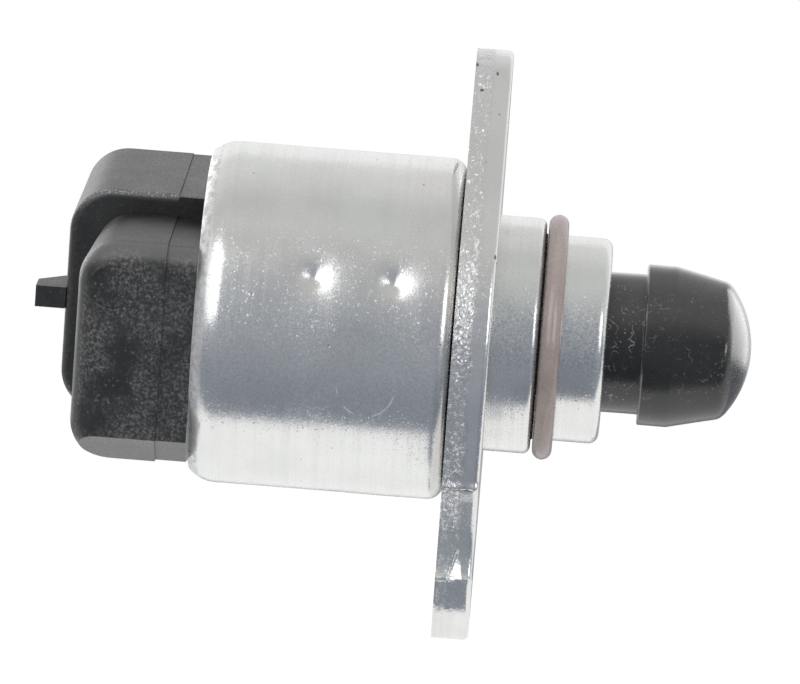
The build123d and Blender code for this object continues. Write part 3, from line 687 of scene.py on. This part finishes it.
def tinted(amount, first, second, blend="MIX"):
    """The first colour where the amount is 0, the second, or the two multiplied, where it is 1."""
    sockets = {0: amount, 6: rgba(first), 7: rgba(second)}
    tree = tree_of(amount, first, second)
    return put(tree, "Mix", sockets, data_type="RGBA", blend_type=blend).outputs[2]


def new_group(name, inputs, outputs):
    """An empty node group with its sockets, and the two nodes that stand for them inside. An input with no
    number is a vector, and so is the output named Normal."""
    group = bpy.data.node_groups.new(name, "ShaderNodeTree")
    for label, value in inputs.items():
        kind = "Float" if isinstance(value, float) else "Vector"
        socket = group.interface.new_socket(label, in_out="INPUT", socket_type="NodeSocket" + kind)
        if value is not None:
            socket.default_value = value
    for label in outputs:
        kind = "Vector" if label == "Normal" else "Float"
        group.interface.new_socket(label, in_out="OUTPUT", socket_type="NodeSocket" + kind)
    return group, group.nodes.new("NodeGroupInput").outputs, group.nodes.new("NodeGroupOutput").inputs


def effect(group, where, **values):
    """The outputs of a placed node group; an underscore in the name of an input stands for a space."""
    sockets = {key.replace("_", " "): value for key, value in values.items()}
    return put(tree_of(where), "Group", {"Vector": where, **sockets}, node_tree=group).outputs


print("recipe helpers ready")

# %% [markdown]
# ### Patches, specks and lint
# Patches are slow changes of tone. Specks are grains of dust or pits in a plating: the cells of a Voronoi
# pattern, of which only some are kept, each as a small round spot. Lint is a hair or fibre: the thin line
# along which a smooth noise passes through its middle value, kept only here and there.

# %% Shared effects
patches, given, gives = new_group("patches", {"Vector": None, "Scale": 200.0}, ["Tone"])
join(step_between(noise(given["Vector"], given["Scale"], 4.0, 0.6), 0.3, 0.7), gives["Tone"])

specks, given, gives = new_group("specks", {"Vector": None, "Scale": 900.0, "Share": 0.2, "Size": 0.3}, ["Spot"])
cells = put(specks, "TexVoronoi", {"Vector": given["Vector"], "Scale": given["Scale"]}).outputs
lot = put(specks, "SeparateColor", {0: cells["Color"]}).outputs
reach = times(given["Size"], plus(lot[1], 0.3))
near = step_between(cells["Distance"], reach, times(reach, 0.55), rise="LINEAR")
join(times(sums("LESS_THAN", lot[0], given["Share"]), near), gives["Spot"])

lint, given, gives = new_group("lint", {"Vector": None, "Scale": 160.0, "Width": 0.01, "Share": 0.5}, ["Line"])
swirl = noise(given["Vector"], given["Scale"], 1.0)
thread = step_between(apart(swirl, 0.5), given["Width"], 0.0, rise="LINEAR")
quicker = noise(given["Vector"], times(given["Scale"], 1.7), 1.0)
there = sums("GREATER_THAN", quicker, sums("SUBTRACT", 0.85, times(given["Share"], 0.5)))
join(times(thread, there), gives["Line"])
print("effects:", patches.name, specks.name, lint.name)

# %% [markdown]
# ### Lines of drawing, turning and scratching
# A tool that goes round the axis leaves lines at fixed stations, so the noise is stretched until it changes
# only along X. Stray scratches are the same, on a mapping that is turned and stretched another way.

# %% Tool lines
tool_lines, given, gives = new_group("tool_lines", {"Vector": None, "Per Metre": 3000.0}, ["Line"])
squeezed = put(tool_lines, "Mapping", {"Vector": given["Vector"], "Scale": (1.0, 0.012, 0.012)}).outputs[0]
join(noise(squeezed, given["Per Metre"], 3.0, 0.7), gives["Line"])

scratches, given, gives = new_group(
    "scratches", {"Vector": None, "Turn": (0.0, 0.0, 0.0), "Scale": 700.0, "Share": 0.2}, ["Line"])
turned = put(scratches, "Mapping", {"Vector": given["Vector"], "Rotation": given["Turn"]}).outputs[0]
drawn_out = put(scratches, "Mapping", {"Vector": turned, "Scale": (1.0, 0.05, 0.05)}).outputs[0]
hairs = put(scratches, "TexVoronoi", {"Vector": drawn_out, "Scale": given["Scale"]}).outputs
lot = put(scratches, "SeparateColor", {0: hairs["Color"]}).outputs
fine = step_between(hairs["Distance"], 0.12, 0.02, rise="LINEAR")
join(times(sums("LESS_THAN", lot[0], given["Share"]), fine), gives["Line"])
print("lines:", tool_lines.name, scratches.name)

# %% [markdown]
# ### Crystals of the plating
# Bright zinc is a skin of tiny crystals. Each is tilted its own way, so under a lamp some flash and their
# neighbours don't. Every cell of a Voronoi pattern gets its own random tilt: slight for most of them, strong
# for a share. The group adds that tilt to the normal it is given, and also gives a fine height for the bump, a
# mask of the strong ones, which are duller, and a random shade for each.

# %% Crystals
crystals, given, gives = new_group(
    "crystals", {"Vector": None, "Normal": None, "Scale": 6000.0, "Share": 0.12, "Tilt": 0.04, "Strong Tilt": 0.3},
    ["Height", "Strong", "Shade", "Normal"])
join(noise(given["Vector"], given["Scale"], 3.0, 0.65), gives["Height"])
facets = put(crystals, "TexVoronoi", {"Vector": given["Vector"], "Scale": given["Scale"]}).outputs
lot = put(crystals, "TexWhiteNoise", {"Vector": facets["Position"]}, noise_dimensions="3D").outputs
strong = sums("LESS_THAN", lot["Value"], given["Share"])
join(strong, gives["Strong"])
join(put(crystals, "SeparateColor", {0: lot["Color"]}).outputs[1], gives["Shade"])
extra = times(strong, sums("SUBTRACT", given["Strong Tilt"], given["Tilt"]))
reach = times(plus(given["Tilt"], extra), 2.0)
tilt = vector("SCALE", vector("SUBTRACT", facets["Color"], (0.5, 0.5, 0.5)), reach)
join(vector("NORMALIZE", vector("ADD", given["Normal"], tilt)), gives["Normal"])
print("node groups:", ", ".join(group.name for group in bpy.data.node_groups))

# %% [markdown]
# ## A finish under way
# Each finish starts with a colour, a gloss and a height, and marks are laid over them one by one: a tint where
# a mask is, a rougher skin, a rise or a pit. At the end all three are joined to the shader.

# %% Finish helper
def new_material(name):
    """A material with its tree and its shader."""
    material = bpy.data.materials.new(name)
    material.use_nodes = True
    return material, material.node_tree, material.node_tree.nodes["Principled BSDF"]


class Finish:
    """A material with the colour, gloss, height and normal it has so far. The gloss is kept as a roughness, and
    patterns are read at the object coordinates."""

    def __init__(self, name, **values):
        """Starts a material and sets the plain values of its shader."""
        self.material, self.tree, self.shader = new_material(name)
        self.where = put(self.tree, "TexCoord").outputs["Object"]
        self.normal = None
        for key, value in values.items():
            self.shader.inputs[key].default_value = value

    def tint(self, amount, colour):
        """Mixes a colour in by an amount."""
        self.colour = tinted(amount, self.colour, colour)

    def roughen(self, mask, amount):
        """Adds to the roughness where a mask is."""
        self.gloss = plus(self.gloss, times(mask, amount))

    def lift(self, mask, amount):
        """Adds to the height where a mask is."""
        self.height = plus(self.height, times(mask, amount))

    def grained(self, scale, gloss_low, gloss_high, roughness=0.5):
        """A fine grain that sets both the height and the gloss."""
        self.height = noise(self.where, scale, 3.0, roughness)
        self.gloss = step_between(self.height, 0.3, 0.7, gloss_low, gloss_high)

    def mark(self, label):
        """A mark that the mesh keeps for its finish."""
        return put(self.tree, "Attribute", attribute_name=label).outputs["Fac"]

    def done(self, depth):
        """Joins colour and gloss to the shader, and the height, in 0 to 1 of a depth in metres, as a bump."""
        join(self.colour, self.shader.inputs["Base Color"])
        join(self.gloss, self.shader.inputs["Roughness"])
        bump = put(self.tree, "Bump", {"Height": self.height, "Distance": depth})
        if self.normal is not None:
            join(self.normal, bump.inputs["Normal"])
        join(bump.outputs["Normal"], self.shader.inputs["Normal"])
        return self.material


print("finish helper ready")

# %% [markdown]
# ## Zinc plated steel
# The can, the flange and the hub are plated with bright zinc: a pale metal with a soft gloss, a speckle of
# crystals, faint tool lines, tiny dark pits and a few scratches. One function builds the base of the finish,
# and each of the three then adds its own marks; the hub and the can also get a band of painted shade.

# %% Zinc
ZINC_DULL, ZINC_BRIGHT = (0.79, 0.795, 0.79), (0.85, 0.85, 0.845)
PIT_TONE, PAINTED_BAND_TONE = (0.22, 0.22, 0.23), (0.44, 0.46, 0.50)
ZINC_WARM, ZINC_COOL = (1.0, 0.982, 0.975), (0.975, 1.0, 0.985)


def zinc(name, lines_per_metre, line_depth, crystal_share):
    """Plated steel: tone, gloss, height and normal from the same crystals, lines, pits and patches."""
    skin = Finish(name, Metallic=1.0)
    tone = effect(patches, skin.where, Scale=170.0)[0]
    spangle = effect(crystals, skin.where, Normal=put(skin.tree, "NewGeometry").outputs["Normal"], Scale=6500.0,
                     Share=times(plus(tone, 0.25), crystal_share), Tilt=0.013, Strong_Tilt=0.085)
    lines = effect(tool_lines, skin.where, Per_Metre=lines_per_metre)[0]
    pits = effect(specks, skin.where, Scale=1100.0, Share=0.07, Size=0.17)[0]
    cuts = effect(scratches, skin.where, Turn=(0.0, 0.35, 0.6), Scale=500.0, Share=0.05)[0]
    hue = tinted(effect(patches, skin.where, Scale=75.0)[0], ZINC_WARM, ZINC_COOL)
    skin.colour = tinted(1.0, tinted(tone, ZINC_DULL, ZINC_BRIGHT), hue, "MULTIPLY")
    skin.tint(times(spangle["Shade"], 0.03), 0.30)
    skin.tint(step_between(lines, 0.42, 0.66, 0.0, 0.05), 0.30)
    skin.tint(times(pits, 0.5), PIT_TONE)
    skin.gloss = step_between(lines, 0.35, 0.7, 0.17, 0.24)
    skin.roughen(tone, 0.04)
    skin.roughen(cuts, 0.15)
    skin.roughen(spangle["Strong"], 0.09)
    skin.height = times(spangle["Height"], 0.5)
    skin.lift(lines, line_depth)
    skin.lift(pits, -1.2)
    skin.lift(cuts, -0.5)
    skin.normal = spangle["Normal"]
    return skin


def painted_dark_band(skin, top, bottom, amount):
    """Painted shade: a fine bluish grey mottle laid on the band between two heights, deepening the dark band that
    the metal reflects there.
    """
    level = split(skin.where)["Z"]
    band = times(step_between(level, top, top - 0.004), step_between(level, bottom, bottom + 0.002))
    mottle = step_between(noise(skin.where, 4400.0, 4.0, 0.7), 0.38, 0.64, 0.0, amount)
    skin.tint(times(band, mottle), PAINTED_BAND_TONE)


hub = zinc("zinc_turned", 4200.0, 0.5, 0.14)
# Painted shade: the hub's middle band of heights is darkened with a bluish grey mottle.
painted_dark_band(hub, 0.0050, -0.0040, 0.66)
zinc_turned = hub.done(0.000016)

plate = zinc("zinc_plate", 1500.0, 0.1, 0.16)
broken = plate.mark("fracture")
crumbs = effect(crystals, plate.where, Normal=plate.normal, Scale=4400.0, Share=0.6,
                Tilt=times(broken, 0.06), Strong_Tilt=times(broken, 0.22))
plate.tint(times(broken, 0.15), (0.62, 0.63, 0.63))
plate.tint(step_between(plate.mark("nick"), 0.25, 0.7, 0.0, 0.85), 0.13)
plate.roughen(broken, 0.04)
plate.lift(times(crumbs["Height"], broken), 3.0)
plate.normal = crumbs["Normal"]
zinc_plate = plate.done(0.000018)
print("zinc finishes ready for the hub and the flange")

# %% [markdown]
# The can has two marks more: its lip is rubbed dull where it was rolled, and a worn ring, pressed by some
# round tool, shows low on its near side. The ring is the set of points at one distance from a centre.

# %% Zinc of the can
LIP_STARTS, LIP_FULL = -0.02570, -0.02615
RING_X, RING_Z, RING_RADIUS, RING_TOP, RING_FULL = -0.0109, -0.0059, 0.00262, -0.0055, -0.0066
can = zinc("zinc_can", 2600.0, 0.12, 0.16)
# Painted shade: the can's band from just above the axis to well below it is darkened with a bluish grey mottle.
painted_dark_band(can, 0.003, -0.0105, 0.34)
axes = split(can.where)
rolled = step_between(axes["X"], LIP_STARTS, LIP_FULL)
rubbed = noise(can.where, 1400.0, 4.0, 0.7)
can.roughen(rolled, step_between(rubbed, 0.35, 0.65, 0.20, 0.48))
can.tint(times(rolled, step_between(rubbed, 0.38, 0.62, 0.05, 0.45)), 0.42)
can.lift(rolled, times(rubbed, 2.5))
flat = put(can.tree, "CombineXYZ", {"X": axes["X"], "Y": axes["Z"]}).outputs[0]
reach = vector("LENGTH", vector("ADD", flat, (-RING_X, -RING_Z, 0.0)))
ring = step_between(apart(reach, RING_RADIUS), 0.00011, 0.00003)
ring = times(ring, step_between(axes["Z"], RING_TOP, RING_FULL))
ring = times(ring, sums("LESS_THAN", axes["Y"], 0.0))
ring = times(ring, step_between(noise(can.where, 620.0), 0.40, 0.56))
can.roughen(ring, 0.5)
zinc_can = can.done(0.000016)
print("zinc finish ready for the can")

# %% [markdown]
# ## Rubber
# The O-ring is a brown rubber with a soft shine. Its tone changes a little in patches, and pale specks of dust
# stick to it. One fine grain sets both its gloss and its height.

# %% Rubber
rubber = Finish("seal_rubber", IOR=1.7)
tone = effect(patches, rubber.where, Scale=350.0)[0]
rubber.colour = tinted(tone, (0.275, 0.224, 0.210), (0.33, 0.273, 0.257))
dust = effect(specks, rubber.where, Scale=1500.0, Share=0.10, Size=0.3)[0]
rubber.tint(times(dust, 0.35), (0.42, 0.38, 0.37))
rubber.grained(3000.0, 0.20, 0.30)
seal_rubber = rubber.done(0.000012)
print("rubber ready")

# %% [markdown]
# ## Black plastics
# The pintle and the connector are black mouldings with a fine grain. The pintle is smooth, with dust and lint
# settled on it, most of all on its neck; the connector has a satin skin with scuffs. Painted sheen greys what leans
# up.

# %% Black plastics
def black_moulding(name, dark, pale, ior, gloss_low, gloss_high, grain_scale):
    """Black plastic: a moulded grain, patches of wear and a few scuffs."""
    skin = Finish(name, IOR=ior)
    tone = effect(patches, skin.where, Scale=240.0)[0]
    scuffs = effect(scratches, skin.where, Turn=(0.5, 0.2, 0.9), Scale=600.0, Share=0.08)[0]
    skin.colour = tinted(tone, dark, pale)
    skin.tint(times(scuffs, 0.12), 0.30)
    skin.grained(grain_scale, gloss_low, gloss_high, 0.6)
    skin.roughen(tone, 0.05)
    return skin


def dust_over(skin, share, amount, lint_share, lint_amount):
    """Dust on a finish: ragged specks of two sizes, and short curls of lint; the amounts are masks."""
    ragged = noise(skin.where, 5200.0, 1.0, give="Color")
    bent = vector("MULTIPLY_ADD", ragged, (0.00022, 0.00022, 0.00022), skin.where)
    fine = effect(specks, bent, Scale=3200.0, Share=share, Size=0.30)[0]
    coarse = effect(specks, bent, Scale=1500.0, Share=share * 0.22, Size=0.15)[0]
    curl = effect(lint, skin.where, Scale=620.0, Width=0.011, Share=lint_share)[0]
    skin.tint(times(fine, amount), 0.34)
    skin.tint(times(coarse, amount), 0.50)
    skin.tint(times(curl, lint_amount), 0.45)


def painted_top_sheen(skin, amount):
    """Painted sheen: a grey laid on what leans up but isn't level, standing for the light from above: faces whose
    normal rises by a twentieth to nine tenths.
    """
    rise = split(put(skin.tree, "TexCoord").outputs["Normal"])["Z"]
    lean = times(step_between(rise, 0.05, 0.40), step_between(rise, 0.97, 0.80))
    skin.tint(times(lean, amount), 0.085)


NECK_FRONT, NECK_FULL, COLLAR_EDGE = 0.0148, 0.0136, 0.01394
pintle = black_moulding("pintle_plastic", 0.005, 0.010, 1.65, 0.15, 0.26, 5000.0)
# Painted sheen: the pintle's faces that lean up are greyed, as the light from above would show on them.
painted_top_sheen(pintle, 0.3)
station = split(pintle.where)["X"]
clump = step_between(noise(pintle.where, 210.0), 0.42, 0.62, 0.10, 1.0)
settled = times(clump, step_between(step_between(station, NECK_FRONT, NECK_FULL), 0.0, 1.0, 0.22, 0.60))
dust_over(pintle, 0.42, settled, 0.70, times(settled, 0.9))
at_edge = step_between(apart(station, COLLAR_EDGE), 0.00011, 0.00004)
caught = times(at_edge, step_between(noise(pintle.where, 300.0, 3.0), 0.42, 0.60))
pintle.tint(times(caught, 0.45), 0.40)
pintle_plastic = pintle.done(0.000010)
print("pintle ready")

# %% [markdown]
# The connector's closed back is the side that is handled: a pale bloom in patches and more dust. A paler tone
# painted on the faces that look down stands for a reflection of the white floor. A gritty crust along the edge of
# its hood carries a painted highlight, and the face that meets the can is painted paler to lift its shade.

# %% Plastic of the connector
BACK_STARTS, BACK_FULL, HOOD_REAR, HOOD_DIRTY, CAN_TOUCH = -0.0128, -0.0137, -0.0398, -0.0372, -0.0270
DOWN_WAY = (0.0, np.sin(PLUG_TURN), -np.cos(PLUG_TURN))
plug = black_moulding("connector_plastic", 0.006, 0.011, 1.62, 0.33, 0.45, 4000.0)
# Painted sheen: the connector's faces that lean up are greyed, as the light from above would show on them.
painted_top_sheen(plug, 0.9)
towards_plug, station = vector("DOT_PRODUCT", plug.where, PLUG_WAY), split(plug.where)["X"]
facing = put(plug.tree, "TexCoord").outputs["Normal"]
on_back = step_between(towards_plug, BACK_STARTS, BACK_FULL)
mottle = noise(plug.where, 3600.0, 3.0, 0.7)
bloom = step_between(noise(plug.where, 190.0, 5.0, 0.65), 0.36, 0.58)
bloom = times(bloom, step_between(mottle, 0.42, 0.66, 0.05, 1.0))
plug.tint(times(bloom, step_between(on_back, 0.0, 1.0, 0.06, 0.46)), 0.20)
settled = step_between(on_back, 0.0, 1.0, 0.10, 0.26)
dust_over(plug, 0.50, settled, 0.40, times(settled, 0.6))
# Painted reflection: faces that look down are paled, as if they reflected the white floor.
painted_floor_glow = step_between(vector("DOT_PRODUCT", facing, DOWN_WAY), 0.3, 0.6, 0.0, 0.55)
plug.tint(times(painted_floor_glow, step_between(mottle, 0.3, 0.7, 0.8, 1.0)), 0.30)
on_lip = times(step_between(towards_plug, 0.00004, 0.00018), step_between(towards_plug, 0.0008, 0.0005))
on_lip = times(on_lip, step_between(station, HOOD_REAR, HOOD_DIRTY))
# A fine grit on the hood's edge: real bumps and roughness, and a paler tint on its peaks that is a painted
# highlight.
grit_and_highlight = noise(plug.where, 6500.0)
plug.roughen(on_lip, 0.25)
plug.lift(on_lip, times(grit_and_highlight, 2.5))
plug.tint(times(on_lip, step_between(grit_and_highlight, 0.50, 0.64, 0.0, 0.8)), 0.34)
# Painted light: the face that meets the can's lip is paled in a mottle, lifting the shade in the wedge there.
painted_lift_at_can = times(step_between(split(facing)["X"], 0.6, 0.9), step_between(station, CAN_TOUCH - 0.0001, CAN_TOUCH))
plug.tint(times(painted_lift_at_can, step_between(mottle, 0.35, 0.65, 0.6, 1.0)), 0.38)
connector_plastic = plug.done(0.000014)
print("connector ready")

# %% [markdown]
# ## Finishes inside
# The pieces in the motor are seen only when it is opened, but each gets its own finish: cut steel, ground
# steel, sintered bronze, the dark magnet, natural plastics, enamelled copper and tinned blades.

# %% Finishes inside
INSIDE = {  # dark tone, pale tone, metal, low and high roughness, grain a metre, depth in metres, spots
    "nut_plastic": ((0.70, 0.68, 0.62), (0.78, 0.76, 0.70), 0.0, 0.40, 0.50, 2500.0, 0.000020),
    "magnet": ((0.055, 0.055, 0.06), (0.09, 0.09, 0.095), 0.2, 0.45, 0.65, 3500.0, 0.000030, (0.20, 0.20, 0.21)),
    "bronze": ((0.50, 0.35, 0.18), (0.60, 0.44, 0.25), 1.0, 0.30, 0.50, 3000.0, 0.000030, (0.22, 0.15, 0.08)),
    "bearing_steel": ((0.66, 0.66, 0.67), (0.74, 0.74, 0.75), 1.0, 0.10, 0.20, 5000.0, 0.000006),
    "screw_steel": ((0.50, 0.50, 0.51), (0.60, 0.60, 0.61), 1.0, 0.22, 0.36, 3500.0, 0.000014),
    "pole_steel": ((0.44, 0.44, 0.45), (0.55, 0.55, 0.56), 1.0, 0.25, 0.42, 3000.0, 0.000018),
    "bobbin_plastic": ((0.62, 0.60, 0.52), (0.72, 0.70, 0.62), 0.0, 0.40, 0.55, 2500.0, 0.000020),
    "copper": ((0.50, 0.20, 0.08), (0.66, 0.30, 0.14), 1.0, 0.20, 0.32, 2600.0, 0.000015),
    "terminal_tin": ((0.60, 0.59, 0.56), (0.70, 0.69, 0.66), 1.0, 0.24, 0.40, 3200.0, 0.000014),
}


def plain_finish(name, dark, pale, metal, gloss_low, gloss_high, grain_scale, depth, spot_tint=None):
    """Two close tones in patches, a fine grain that sets gloss and height, and spots if they have a tint."""
    skin = Finish(name, Metallic=metal)
    skin.colour = tinted(effect(patches, skin.where, Scale=300.0)[0], dark, pale)
    if spot_tint:
        spot = effect(specks, skin.where, Scale=1800.0, Share=0.3, Size=0.3)[0]
        skin.tint(times(spot, 0.6), spot_tint)
    skin.grained(grain_scale, gloss_low, gloss_high)
    return skin.done(depth)


inside = {name: plain_finish(name, *row) for name, row in INSIDE.items()}
print("finishes inside:", len(inside))

# %% [markdown]
# ## Dressing
# Each new piece takes its finish, stands for its CAD node, rides on the body that carries it and names its slot
# in the record. The spring takes the finish of its node's slot and stays at its place, on no body. The CAD nodes
# that stay get a finish in place of their plain colour.

# %% Dress the pieces
dressed = [
    (motor_can, "motor_can", "housing", "zinc_can", zinc_can),
    (flange_plate, "mounting_flange", "housing", "zinc_plate", zinc_plate),
    (hub_turned, "nose_hub", "housing", "zinc_turned", zinc_turned),
    (seal_ring, "o_ring", "housing", "seal_rubber", seal_rubber),
    (valve_pintle, "pintle", "valve", "pintle_plastic", pintle_plastic),
    (connector_moulding, "end_cap", "housing", "connector_plastic", connector_plastic),
]
for piece, node, body, slot_name, finish in dressed:
    piece.data.materials.clear()
    piece.data.materials.append(finish)
    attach(piece, body)
    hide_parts(node)

slot_of = {row["node"]: row["material_slot"] for row in frame["record"]["subparts"]}
coil_spring.data.materials.append(inside[slot_of["pintle_spring"]])
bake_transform(coil_spring)
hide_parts("pintle_spring")

replaced = [row[1] for row in dressed] + ["pintle_spring"]
for node, solid in frame["nodes"].items():
    if node not in replaced:
        solid.data.materials.clear()
        solid.data.materials.append(inside.get(slot_of[node], seal_rubber))
print("dressed", len(replaced), "new pieces and", len(frame["nodes"]) - len(replaced), "solids")

# %% [markdown]
# ## Studio
# The floor and the world are white to the camera and in reflections, but light the valve at a plain level.

# %% Floor and world
FLOOR = cad_box[0][2]
WORLD_LIGHT, FLOOR_GLOW, FLOOR_GLOW_SHARE = 0.55, 1.06, 0.9


def seen_directly(tree):
    """1 for rays from the camera or from a reflection, 0 for the rays that light a dull surface."""
    path = put(tree, "LightPath").outputs
    return sums("MAXIMUM", path["Is Camera Ray"], path["Is Glossy Ray"])


span = np.linspace(-1.5, 1.5, 3)
floor_x, floor_y = np.meshgrid(span, span, indexing="ij")
floor_points = np.stack([floor_x, floor_y, np.full_like(floor_x, FLOOR)], -1).reshape(-1, 3)
floor = piece_from("studio_floor", floor_points, grid_faces(3, 3, False, False))
floor_white, tree, shader = new_material("floor_white")
shader.inputs["Base Color"].default_value = rgba(0.85)
shader.inputs["Roughness"].default_value = 0.9
shader.inputs["Specular IOR Level"].default_value = 0.0
glow = put(tree, "Emission", {"Color": rgba(1.0), "Strength": FLOOR_GLOW})
share = times(seen_directly(tree), FLOOR_GLOW_SHARE)
both = put(tree, "MixShader", {0: share, 1: shader.outputs[0], 2: glow.outputs[0]})
join(both.outputs[0], tree.nodes["Material Output"].inputs["Surface"])
floor.data.materials.append(floor_white)

world = bpy.data.worlds.new("studio_white")
world.use_nodes = True
bpy.context.scene.world = world
back = world.node_tree.nodes["Background"]
back.inputs["Color"].default_value = rgba(1.0)
join(step_between(seen_directly(world.node_tree), 0.0, 1.0, WORLD_LIGHT, 1.0), back.inputs["Strength"])
print("floor at", round(FLOOR * 1000, 2), "mm")

# %% [markdown]
# Soft boxes stand round the valve. Some are there only for their reflection in a few pieces, as a studio uses
# flags on stands to keep a lamp off the rest: a strip that draws white lines on the rolled edges, a glint on the
# O-ring, and three that show the form of the black pintle.

# %% Lamps
CAN_MIDDLE, AIM, LAMP_DISTANCE = -0.013, (-0.008, 0.0, 0.0), 0.33
ALL_BUT_PINTLE = [row[0] for row in dressed if row[0] != valve_pintle]
LAMPS = (  # name, azimuth and height in degrees, width and height in metres, radiance, what it is kept on
    ("left_box", -32, 15, 0.20, 0.31, 1.5, None),
    ("far_left_box", -132, 10, 0.20, 0.30, 2.2, None),
    ("right_strip", 39.5, 8, 0.11, 0.20, 2.6, ALL_BUT_PINTLE),
    ("ring_glint", -45, 0, 0.04, 0.22, 18.0, [seal_ring]),
    ("end_box", 120, 10, 0.30, 0.56, 3.2, [valve_pintle]),
    ("end_glint", 62, 2, 0.03, 0.05, 16.0, [valve_pintle]),
    ("rim_box", 180, 0, 0.50, 0.40, 0.7, [valve_pintle]),
)


def soft_box(name, place, wide, tall, radiance):
    """An area lamp that faces the valve; its power is radiance times area times pi."""
    lamp = bpy.data.lights.new(name, "AREA")
    lamp.shape, lamp.size, lamp.size_y = "RECTANGLE", wide, tall
    lamp.energy = radiance * wide * tall * np.pi
    ahead = np.array(AIM) - np.array(place)
    ahead /= np.linalg.norm(ahead)
    aside = np.cross(ahead, [0.0, 0.0, 1.0] if abs(ahead[2]) < 0.95 else [0.0, 1.0, 0.0])
    aside /= np.linalg.norm(aside)
    box = placed(name, lamp)
    box.matrix_world = standing(aside, np.cross(aside, ahead), -ahead, place)
    box.visible_camera = False
    return box


def from_valve(azimuth, height):
    """A place seen from the can at an azimuth from the camera's side and a height above level, in degrees."""
    a, h = np.radians(azimuth), np.radians(height)
    way = np.array([np.sin(a) * np.cos(h), -np.cos(a) * np.cos(h), np.sin(h)])
    return np.array([CAN_MIDDLE, 0.0, 0.0]) + LAMP_DISTANCE * way


top_box = soft_box("top_box", (0.0, -0.10, 0.45), 0.60, 0.50, 1.6)
top_box.visible_glossy = False
for name, azimuth, height, wide, tall, radiance, kept_on in LAMPS:
    box = soft_box(name, from_valve(azimuth, height), wide, tall, radiance)
    if kept_on:
        lit = bpy.data.collections.new(name + "_lit")
        for piece in kept_on:
            lit.objects.link(piece)
        box.light_linking.receiver_collection = lit
        box.visible_diffuse = False
print("lamps:", [lamp.name for lamp in bpy.data.lights])

# %% [markdown]
# Metal is drawn by what it reflects, so a graded grey card stands on the camera's side: dark near the foot of
# the valve, mid grey at the height of the lens, paler above. It reaches further in below the flange and the hub,
# and is darker below the hub. A lower one stands behind. Only reflections see them.

# %% Grey cards
CARD_GAP, CARD_BEND, CARD_REACH, FLOOR_ROWS = 0.0004, 0.16, 0.46, 30
FRONT_START, BACK_START = 0.0175, 0.042
FLANGE_TONGUE, HUB_TONGUE, HUB_SHADE = 0.0112, 0.0022, 0.80
NEAR_ACROSS = [-0.012, -0.006, -0.0048, -0.0042, 0.0008, 0.0014, 0.003, 0.012]
across = np.concatenate([np.linspace(-1.5, -0.03, 8), NEAR_ACROSS, np.linspace(0.03, 1.5, 8)])
at_flange, at_hub = (across > -0.0045) & (across < 0.0011), (across > 0.0011) & (across < 0.02)


def card_profile(start, top, roof):
    """Run and rise of a card: along the floor, a quarter round up, a wall, then level along the roof. Also the
    elevation of each point from the axis of the valve, in degrees."""
    bend = np.linspace(0.1, np.pi / 2, 14)
    run = np.concatenate([np.geomspace(start, 0.30, FLOOR_ROWS), CARD_REACH - CARD_BEND + CARD_BEND * np.sin(bend),
                          np.full(12, CARD_REACH), roof])
    rise = np.concatenate([np.zeros(FLOOR_ROWS), CARD_BEND * (1 - np.cos(bend)), np.linspace(0.20, top, 12),
                           np.full(len(roof), top + 0.03)])
    return run, rise, np.degrees(np.arctan2(rise + FLOOR, run))


def grey_card(name, side, run, rise, tone, tongue):
    """A sheet with one profile all along X, on the side of -Y or +Y; the tongue draws its near edge in."""
    card_x, card_run = np.meshgrid(across, run, indexing="ij")
    near = np.clip(1 - np.arange(len(run)) / (FLOOR_ROWS - 1), 0, 1)
    card_run = card_run - tongue[:, None] * near[None, :]
    points = np.stack([card_x, side * card_run, FLOOR + CARD_GAP + rise + 0 * card_x], -1)
    return piece_from(name, points.reshape(-1, 3), grid_faces(len(across), len(run), False, False),
                      marks={"tone": (tone + 0 * card_x).ravel()})


run, rise, elevation = card_profile(FRONT_START, 0.72, np.linspace(0.42, -0.65, 24))
on_floor = np.interp(run, [0.0175, 0.034, 0.050, 0.087, 0.22], [0.29, 0.312, 0.352, 0.385, 0.395])
on_floor = on_floor * np.where(at_hub, HUB_SHADE, 1.0)[:, None]
above = np.interp(elevation, [0, 6, 20, 34, 60, 83, 93, 103, 115, 130],
                  [0.40, 0.405, 0.44, 0.52, 0.62, 0.595, 0.67, 0.73, 0.755, 0.79])
tongue = np.select([at_flange, at_hub], [FLANGE_TONGUE, HUB_TONGUE], 0.0)
front_card = grey_card("front_card", -1.0, run, rise, np.where(elevation < 0, on_floor, above), tongue)

run, rise, elevation = card_profile(BACK_START, 0.30, np.array([CARD_REACH]))
tone = np.interp(elevation, [-40, -20, 0, 8, 14], [0.32, 0.40, 0.46, 0.62, 0.98])
back_card = grey_card("back_card", 1.0, run, rise, tone, np.zeros_like(across))

graded_grey, tree, _ = new_material("graded_grey")
level = put(tree, "Attribute", attribute_name="tone").outputs["Fac"]
shade = tinted(step_between(level, 0.25, 0.55), (0.91, 1.0, 1.16), 1.0)
paper = put(tree, "Emission", {"Color": shade, "Strength": level})
join(paper.outputs[0], tree.nodes["Material Output"].inputs["Surface"])
for card in (front_card, back_card):
    card.data.materials.append(graded_grey)
    card.visible_camera = card.visible_diffuse = card.visible_shadow = card.visible_transmission = False
